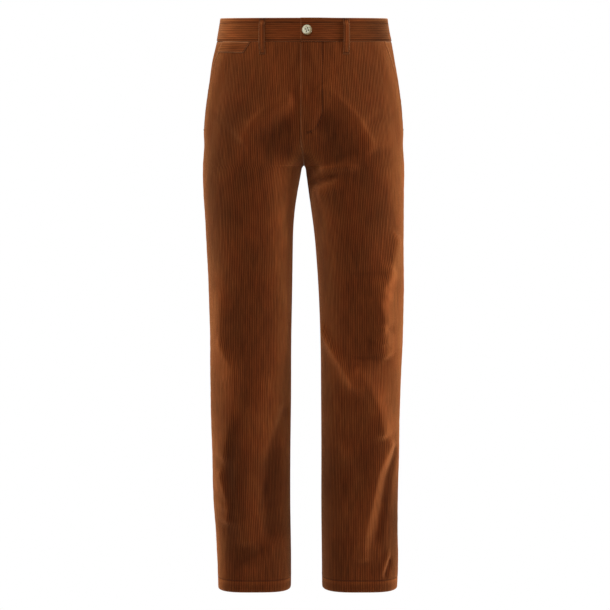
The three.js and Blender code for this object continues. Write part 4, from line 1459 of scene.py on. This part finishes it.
class ButtonSettings(bpy.types.PropertyGroup):
    """The waistband's button."""

    pale: colour_property("Pale", "Lightest clouds", linear(250, 246, 220))
    olive: colour_property("Olive", "Greenish clouds", linear(214, 206, 168))
    # The brown colour also paints shade at the dish edge and on the lower right, and the dark colour paints
    # shade in the holes
    brown: colour_property("Brown", "Rim, dish edge and darker streaks", linear(128, 108, 68))
    dark: colour_property("Dark", "Walls of the holes", linear(30, 24, 14))
    thread: colour_property("Thread colour", "Lit side of the button's thread", linear(236, 228, 196))
    thread_dark: colour_property("Thread shade", "Dark fibres of the button's thread", linear(176, 164, 128))


class StageSettings(bpy.types.PropertyGroup):
    """The camera, the lights and the floor."""

    distance: length_property("Camera distance", "From the lens to the middle of the part", 3.3)
    elevation: bpy.props.FloatProperty(
        name="Elevation", description="Angle that the camera looks down", subtype="ANGLE",
        default=math.radians(4.3))
    lens: bpy.props.FloatProperty(
        name="Lens", description="Focal length", subtype="DISTANCE_CAMERA", default=104.5)
    aim_x: length_property("Aim across", "How far right of the middle the camera aims", 0.0019)
    aim_z: bpy.props.FloatProperty(
        name="Aim level", description="Level aimed at", unit="LENGTH", default=-0.5293)
    floor_z: bpy.props.FloatProperty(
        name="Floor level", description="Level of the floor", unit="LENGTH", default=-1.45)
    sky: bpy.props.FloatProperty(name="Sky", description="Strength of the even light", default=0.1)


def settings_of(name):
    return getattr(bpy.context.scene, "trousers_" + name)


def make_cloth(node, cloth):
    """Builds one piece and puts it in place of its solid."""
    settings = settings_of("cloth")
    mesh = cloth_mesh(f"cloth_{node}", cloth, settings.rib_pitch / MM, settings.rib_depth / MM)
    piece = place(mesh, corduroy(settings))
    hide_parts(node)


class TROUSERS_OT_fronts(bpy.types.Operator):
    """Build both front legs"""

    bl_idname = "trousers.fronts"
    bl_label = "Fronts"

    def execute(self, context):
        for word, side in SIDES.items():
            make_cloth(f"front_{word}", front_cloth(side, settings_of("cloth")))
        return {"FINISHED"}


class TROUSERS_OT_backs(bpy.types.Operator):
    """Build both back legs"""

    bl_idname = "trousers.backs"
    bl_label = "Backs"

    def execute(self, context):
        for word, side in SIDES.items():
            make_cloth(f"back_{word}", back_cloth(side, settings_of("cloth")))
        return {"FINISHED"}


class TROUSERS_OT_waistband(bpy.types.Operator):
    """Build both halves of the waistband"""

    bl_idname = "trousers.waistband"
    bl_label = "Waistband"

    def execute(self, context):
        pitch = settings_of("cloth").rib_pitch / MM
        for word, side in SIDES.items():
            make_cloth(f"waistband_{word}", band_cloth(side, pitch))
        return {"FINISHED"}


class TROUSERS_OT_pockets(bpy.types.Operator):
    """Build the pocket facings and the coin pocket's welt"""

    bl_idname = "trousers.pockets"
    bl_label = "Pockets"

    def execute(self, context):
        for word, side in SIDES.items():
            make_cloth(f"pocket_facing_{word}", facing_cloth(side))
        make_cloth("coin_pocket_welt", welt_cloth())
        return {"FINISHED"}


class TROUSERS_OT_belt_loops(bpy.types.Operator):
    """Build the five belt loops"""

    bl_idname = "trousers.belt_loops"
    bl_label = "Belt Loops"

    def execute(self, context):
        for label, side, middle, panel_lift in belt_loops():
            make_cloth(f"belt_loop_{label}", loop_cloth(side, middle, panel_lift))
        return {"FINISHED"}


def button_centre():
    """The middle of the button's underside, on the lapped end of the waistband."""
    low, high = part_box("button")
    return Vector(((low[0] + high[0]) / 2, high[1], (low[2] + high[2]) / 2))


def lathe(profile, turns):
    """A closed round solid about +Z from its profile of radii and heights."""
    work = bmesh.new()
    rings = []
    for radius, height in profile:
        if radius == 0:
            rings.append([work.verts.new((0, 0, height))])
            continue
        angles = [2 * math.pi * i / turns for i in range(turns)]
        rings.append([work.verts.new((radius * math.cos(a), radius * math.sin(a), height)) for a in angles])
    for low, high in zip(rings, rings[1:]):
        for i in range(turns):
            below = [low[i % len(low)], low[(i + 1) % len(low)]]
            above = [high[(i + 1) % len(high)], high[i % len(high)]]
            unique = list(dict.fromkeys(below + above))
            if len(unique) >= 3:
                work.faces.new(unique)
    bmesh.ops.recalc_face_normals(work, faces=work.faces)
    return work


def mesh_from(work, name):
    mesh = bpy.data.meshes.new(name)
    work.to_mesh(mesh)
    work.free()
    return mesh


# The button's profile from the middle of its underside, as radii and heights
BUTTON_PROFILE = [
    (0, 0), (6.8, 0), (7.9, 0.2), (8.6, 0.8), (9.0, 1.6), (8.9, 2.3), (8.5, 2.9), (7.8, 3.3), (7.0, 3.4),
    (6.3, 3.2), (5.8, 2.8), (5.5, 2.5), (4.7, 2.3), (3.0, 2.15), (0, 2.1),
]


def hole_centres():
    angles = [HOLE_TURN + turn * math.pi / 2 for turn in range(4)]
    return [HOLE_SPREAD * np.array([math.cos(angle), math.sin(angle)]) for angle in angles]


def drilled_button():
    """The button with its four holes, made about +Z."""
    disc = bpy.data.objects.new("button_disc", mesh_from(lathe(BUTTON_PROFILE, 64), "button_disc"))
    drills = bmesh.new()
    for centre in hole_centres():
        bmesh.ops.create_cone(drills, cap_ends=True, segments=20, radius1=HOLE_RADIUS, radius2=HOLE_RADIUS,
                              depth=8, matrix=Matrix.Translation((*centre, 2)))
    cutter = bpy.data.objects.new("button_drills", mesh_from(drills, "button_drills"))
    for thing in (disc, cutter):
        bpy.context.scene.collection.objects.link(thing)
    cut = disc.modifiers.new("holes", "BOOLEAN")
    cut.operation = "DIFFERENCE"
    cut.solver = "EXACT"
    cut.object = cutter
    soften = disc.modifiers.new("soft rims", "BEVEL")
    soften.width = 0.18
    soften.segments = 2
    soften.angle_limit = math.radians(55)
    graph = bpy.context.evaluated_depsgraph_get()
    mesh = bpy.data.meshes.new_from_object(disc.evaluated_get(graph), depsgraph=graph)
    for thing in (disc, cutter):
        bpy.data.objects.remove(thing)
    mesh.name = "resin_button"
    mark_button(mesh)
    return mesh


def mark_button(mesh):
    """Marks where the resin is browner towards the rim, the painted shade at the dish edge and on the lower
    right, and the painted shade in the holes.
    """
    points = np.empty(len(mesh.vertices) * 3)
    mesh.vertices.foreach_get("co", points)
    points = points.reshape(-1, 3)
    out = np.hypot(points[:, 0], points[:, 1])
    rim = 0.7 * smooth((out - BUTTON_RADIUS + 1.6) / 0.9)
    # Painted shade in a ring at the dish edge
    step = 0.35 * np.exp(-((out - 5.6) / 0.4) ** 2)
    # Painted shade on the lower right side
    aside = (0.8 * points[:, 0] - 0.6 * points[:, 1]) / BUTTON_RADIUS
    lower_right_shade = 0.8 * smooth((aside + 0.15) / 0.6) * smooth((out - 5) / 1.2)
    # Painted shade on the walls of the holes
    holes = np.zeros(len(points))
    for x, y in hole_centres():
        away = np.hypot(points[:, 0] - x, points[:, 1] - y)
        holes = np.maximum(holes, away < HOLE_RADIUS + 0.05)
    for label, values in (("brown", np.clip(rim + step + lower_right_shade, 0, 1)), ("dark", holes)):
        layer = mesh.attributes.new(label, "FLOAT", "POINT")
        layer.data.foreach_set("value", values.astype(np.float32))


def onto_band(mesh):
    """Turns a mesh made about +Z in millimetres to face the front, on the button's place."""
    centre = button_centre()
    mesh.transform(Matrix.Translation(centre) @ Matrix.Rotation(math.pi / 2, 4, "X") @ Matrix.Scale(MM, 4))
    return mesh


def thread_bars():
    """Lines of the threads that hold the button: two rows, each between a pair of holes."""
    lines = []
    holes = hole_centres()
    for a, b in ((holes[0], holes[1]), (holes[3], holes[2])):
        off = 0.24 * np.array([-(b - a)[1], (b - a)[0]]) / np.linalg.norm(b - a)
        for shift in (-1, 1):
            share = np.linspace(0, 1, 12)[:, None]
            flat = a + (b - a) * (0.16 + 0.68 * share) + off * shift
            height = 1.2 + 1.3 * np.sin(math.pi * share) ** 0.5
            lines.append(np.column_stack([flat, height]))
    return lines


class TROUSERS_OT_button(bpy.types.Operator):
    """Build the button and the thread that holds it"""

    bl_idname = "trousers.button"
    bl_label = "Button"

    def execute(self, context):
        mesh = onto_band(drilled_button())
        face_outwards(mesh)
        piece = place(mesh, button_material(settings_of("button")))
        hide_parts("button")
        turn = Matrix.Translation(button_centre() / MM) @ Matrix.Rotation(math.pi / 2, 4, "X")
        lines = [[tuple(turn @ Vector(point)) for point in line] for line in thread_bars()]
        thread = thread_material(settings_of("button"), "button_thread")
        sew("button_thread", lines, thread_tree(), thread, "button")
        return {"FINISHED"}


def rail(cloth, levels, distance):
    """A line down a piece's face. distance is a function of the level."""
    return np.concatenate([cloth.face(z, distance(z)) for z in levels])


def zigzag(points, normals):
    """A close zigzag beside a line of points, as a satin bar has."""
    steps = np.linalg.norm(np.diff(points, axis=0), axis=1)
    length = np.concatenate([[0], np.cumsum(steps)])
    places = np.arange(0, length[-1], SATIN_STEP)
    line = np.column_stack([np.interp(places, length, points[:, i]) for i in range(3)])
    normal = np.column_stack([np.interp(places, length, normals[:, i]) for i in range(3)])
    along = np.gradient(line, axis=0)
    sideways = np.cross(along, normal)
    sideways /= np.linalg.norm(sideways, axis=1)[:, None]
    way = np.where(np.arange(len(places)) % 2 == 0, 1, -1)[:, None]
    return line + sideways * way * SATIN_WIDTH / 2 + normal * STITCH_RAISE


def satin_bar(cloth, start, end):
    """A bartack between two places on a piece, each a level and a distance."""
    share = np.linspace(0, 1, 12)
    levels = start[0] + (end[0] - start[0]) * share
    distances = start[1] + (end[1] - start[1]) * share
    points, normals = [], []
    for z, d in zip(levels, distances):
        points.append(cloth.face(z, d, SATIN_RAISE))
        normals.append(base_normals(cloth.side, z, np.array([d]), cloth.first, cloth.last))
    return zigzag(np.concatenate(points), np.concatenate(normals))


def sew(name, lines, tree, thread, slot, **inputs):
    """Puts thread along lines on the cloth, as a piece of its own."""
    radius = settings_of("stitches").radius
    mesh = sewn_along(name, lines, tree, Thread_Radius=radius, Material=thread, **inputs)
    place(mesh, thread)


def make_stitching(name, lines):
    settings = settings_of("stitches")
    sew(name, lines, stitch_tree(), thread_material(settings), "corduroy", Spacing=settings.spacing,
        Stitch_Length=settings.length, Seed=STITCH_SEED)


def make_satin(name, lines):
    sew(name, lines, thread_tree(), thread_material(settings_of("stitches")), "corduroy")


class TROUSERS_OT_stitching(bpy.types.Operator):
    """Sew the topstitching, the hems, the fly and the bartacks"""

    bl_idname = "trousers.stitching"
    bl_label = "Stitching"

    def execute(self, context):
        settings = settings_of("cloth")
        fronts = {side: front_cloth(side, settings) for side in (LEFT, RIGHT)}
        backs = {side: back_cloth(side, settings) for side in (LEFT, RIGHT)}
        bands = {side: band_cloth(side, settings.rib_pitch / MM) for side in (LEFT, RIGHT)}
        self.sew_bands(bands)
        self.sew_pockets(fronts)
        self.sew_fly(fronts[LEFT])
        self.sew_hems(fronts, backs)
        self.sew_loops()
        return {"FINISHED"}

    def sew_bands(self, bands):
        lines = []
        for side, band in bands.items():
            for z in (-BAND_TOP_STITCH, -BAND_HEIGHT + BAND_LOW_STITCH):
                start = band.first(z) + (LAP_STITCH_IN if side == LEFT else BAND_UNDERLAP - FLY_EDGE_X + 1)
                lines.append(band.face(z, np.arange(start, band.last(z) - 1, STITCH_LINE_STEP)))
        end = bands[LEFT]
        levels = np.linspace(-BAND_TOP_STITCH, -BAND_HEIGHT + BAND_LOW_STITCH, 14)
        lines.append(rail(end, levels, lambda z: end.first(z) + LAP_STITCH_IN))
        make_stitching("waistband_stitching", lines)

    def sew_pockets(self, fronts):
        lines, bars = [], []
        for side, front in fronts.items():
            levels = np.linspace(PANEL_TOP_Z - 1, POCKET_END_Z + 4, 60)
            lines.append(rail(front, levels, lambda z, s=side: pocket_edge(s, z) - POCKET_STITCH_IN))
            low = POCKET_END_Z + 5
            edge = pocket_edge(side, low)
            bars.append(satin_bar(front, (low, edge - 7), (low, edge - 0.5)))
        welt = welt_cloth()
        top, bottom = welt.levels[0], welt.levels[-1]
        low = bottom + WELT_STITCH_IN
        start, end = welt.first(bottom) + WELT_STITCH_IN, welt.last(bottom) - WELT_STITCH_IN
        lines.append(welt.face(low, np.linspace(start, end, 30)))
        lines.append(rail(welt, np.linspace(top - 1, low, 8), lambda z: welt.first(z) + WELT_STITCH_IN))
        make_stitching("pocket_stitching", lines)
        make_satin("pocket_bartacks", bars)

    def sew_fly(self, front):
        down = np.linspace(PANEL_TOP_Z - 1, FLY_STITCH_TURN_Z, 50)
        angles = np.linspace(0, math.pi / 2 - 0.1, 26)
        depth = FLY_STITCH_TURN_Z - FLY_STITCH_END_Z
        line = [rail(front, down, lambda z: FLY_STITCH_X)]
        for angle in angles:
            z = FLY_STITCH_TURN_Z - depth * math.sin(angle)
            line.append(front.face(z, FLY_STITCH_X * math.cos(angle)))
        make_stitching("fly_stitching", [np.concatenate(line)])
        bar_z = FLY_STITCH_END_Z + 5
        make_satin("fly_bartack", [satin_bar(front, (bar_z, 14), (bar_z - 2, 5))])

    def sew_hems(self, fronts, backs):
        lines = []
        z = HEM_STITCH_Z
        for side in (LEFT, RIGHT):
            for cloth in (fronts[side], backs[side]):
                across = np.arange(cloth.first(z) + 1, cloth.last(z) - 1, STITCH_LINE_STEP)
                lines.append(cloth.face(z, across))
        make_stitching("hem_stitching", lines)

    def sew_loops(self):
        lines, bars = [], []
        for _label, side, middle, panel_lift in belt_loops():
            loop = loop_cloth(side, middle, panel_lift)
            levels = np.linspace(LOOP_TOP_Z - 1.5, LOOP_BOTTOM_Z + 1.5, 30)
            for way in (-1, 1):
                aside = way * (LOOP_WIDTH / 2 - LOOP_STITCH_IN)
                lines.append(rail(loop, levels, lambda z, a=aside: middle(z) + a))
            for z in (LOOP_TOP_Z - 2.6, LOOP_BOTTOM_Z + 2.2):
                bars.append(satin_bar(loop, (z, middle(z) - 5), (z, middle(z) + 5)))
        make_stitching("belt_loop_stitching", lines)
        make_satin("belt_loop_bartacks", bars)


def area_light(name, place_at, target, size, energy):
    """A round soft light, turned towards its target."""
    light = bpy.data.lights.new(name, "AREA")
    light.shape = "DISK"
    light.size = size
    light.energy = energy
    lamp = bpy.data.objects.new(name, light)
    bpy.context.scene.collection.objects.link(lamp)
    lamp.location = place_at
    lamp.rotation_euler = (Vector(target) - Vector(place_at)).to_track_quat("-Z", "Y").to_euler()


# The soft lights, in metres and watts
STUDIO_LIGHTS = named_rows(["name", "place_at", "target", "size", "energy"], [
    ("right_light", (1.6, -0.38, -0.5), (0, 0, -0.55), 0.7, 20),
    ("left_light", (-1.75, -0.35, -0.45), (0, 0, -0.55), 0.7, 11.5),
    ("top_light", (-0.7, -2.0, 2.4), (0, 0, -0.1), 0.8, 48),
    ("front_light", (0.5, -2.6, 0.9), (0, 0, -0.5), 1.2, 17),
    ("back_light", (0.5, 3.2, 1.0), (0, 0, -0.5), 1.2, 30),
])


class TROUSERS_OT_stage(bpy.types.Operator):
    """Set up the camera, the soft lights and the pale floor"""

    bl_idname = "trousers.stage"
    bl_label = "Stage"

    def execute(self, context):
        stage = settings_of("stage")
        scene = context.scene
        scene.view_settings.view_transform = "Standard"
        scene.view_settings.look = "None"
        aim = Vector((stage.aim_x, 0, stage.aim_z))
        back = stage.distance * Vector((0, -math.cos(stage.elevation), math.sin(stage.elevation)))
        lens = bpy.data.cameras.new("photo_camera")
        lens.sensor_width = 36
        lens.lens = stage.lens
        camera = bpy.data.objects.new("photo_camera", lens)
        scene.collection.objects.link(camera)
        camera.location = aim + back
        camera.rotation_euler = (-back).to_track_quat("-Z", "Y").to_euler()
        scene.camera = camera
        self.light_world(scene, stage.sky)
        for light in STUDIO_LIGHTS:
            area_light(**light)
        self.lay_floor(stage.floor_z)
        return {"FINISHED"}

    def light_world(self, scene, strength):
        """A white backdrop that gives only a dim, even light."""
        world = bpy.data.worlds.new("white_backdrop")
        world.use_nodes = True
        tree = world.node_tree
        seen = tree.nodes.new("ShaderNodeLightPath").outputs["Is Camera Ray"]
        dim = math_node(tree, "MULTIPLY", math_node(tree, "SUBTRACT", 1.0, seen), strength)
        tree.nodes["Background"].inputs["Color"].default_value = (1, 1, 1, 1)
        tree.links.new(math_node(tree, "ADD", seen, dim), tree.nodes["Background"].inputs["Strength"])
        scene.world = world

    def lay_floor(self, level):
        work = bmesh.new()
        bmesh.ops.create_circle(work, cap_ends=True, segments=96, radius=1.3)
        mesh = mesh_from(work, "pale_floor")
        mesh.transform(Matrix.Translation((0, 0, level)))
        floor = bpy.data.objects.new("pale_floor", mesh)
        bpy.context.scene.collection.objects.link(floor)
        material, _tree, shader = blank_material("pale_floor")
        set_inputs(shader, {"Base Color": (0.86, 0.86, 0.85, 1), "Roughness": 0.8})
        mesh.materials.append(material)


class TROUSERS_PT_panel(bpy.types.Panel):
    """Lists the pieces in the sidebar"""

    bl_idname = "TROUSERS_PT_panel"
    bl_label = "Corduroy Trousers"
    bl_space_type = "VIEW_3D"
    bl_region_type = "UI"
    bl_category = "Trousers"

    def draw(self, context):
        for step in STEPS:
            self.layout.operator(step.bl_idname)


SETTINGS = {
    "cloth": ClothSettings,
    "stitches": StitchSettings,
    "button": ButtonSettings,
    "stage": StageSettings,
}
STEPS = [
    TROUSERS_OT_stage,
    TROUSERS_OT_fronts,
    TROUSERS_OT_backs,
    TROUSERS_OT_waistband,
    TROUSERS_OT_pockets,
    TROUSERS_OT_belt_loops,
    TROUSERS_OT_button,
    TROUSERS_OT_stitching,
]


def register():
    for name, group in SETTINGS.items():
        bpy.utils.register_class(group)
        setattr(bpy.types.Scene, "trousers_" + name, bpy.props.PointerProperty(type=group))
    for step in STEPS:
        bpy.utils.register_class(step)
    bpy.utils.register_class(TROUSERS_PT_panel)


def unregister():
    bpy.utils.unregister_class(TROUSERS_PT_panel)
    for step in reversed(STEPS):
        bpy.utils.unregister_class(step)
    for name, group in SETTINGS.items():
        delattr(bpy.types.Scene, "trousers_" + name)
        bpy.utils.unregister_class(group)


def main():
    register()
    for step in STEPS:
        family, name = step.bl_idname.split(".")
        getattr(getattr(bpy.ops, family), name)()


if __name__ == "__main__":
    main()
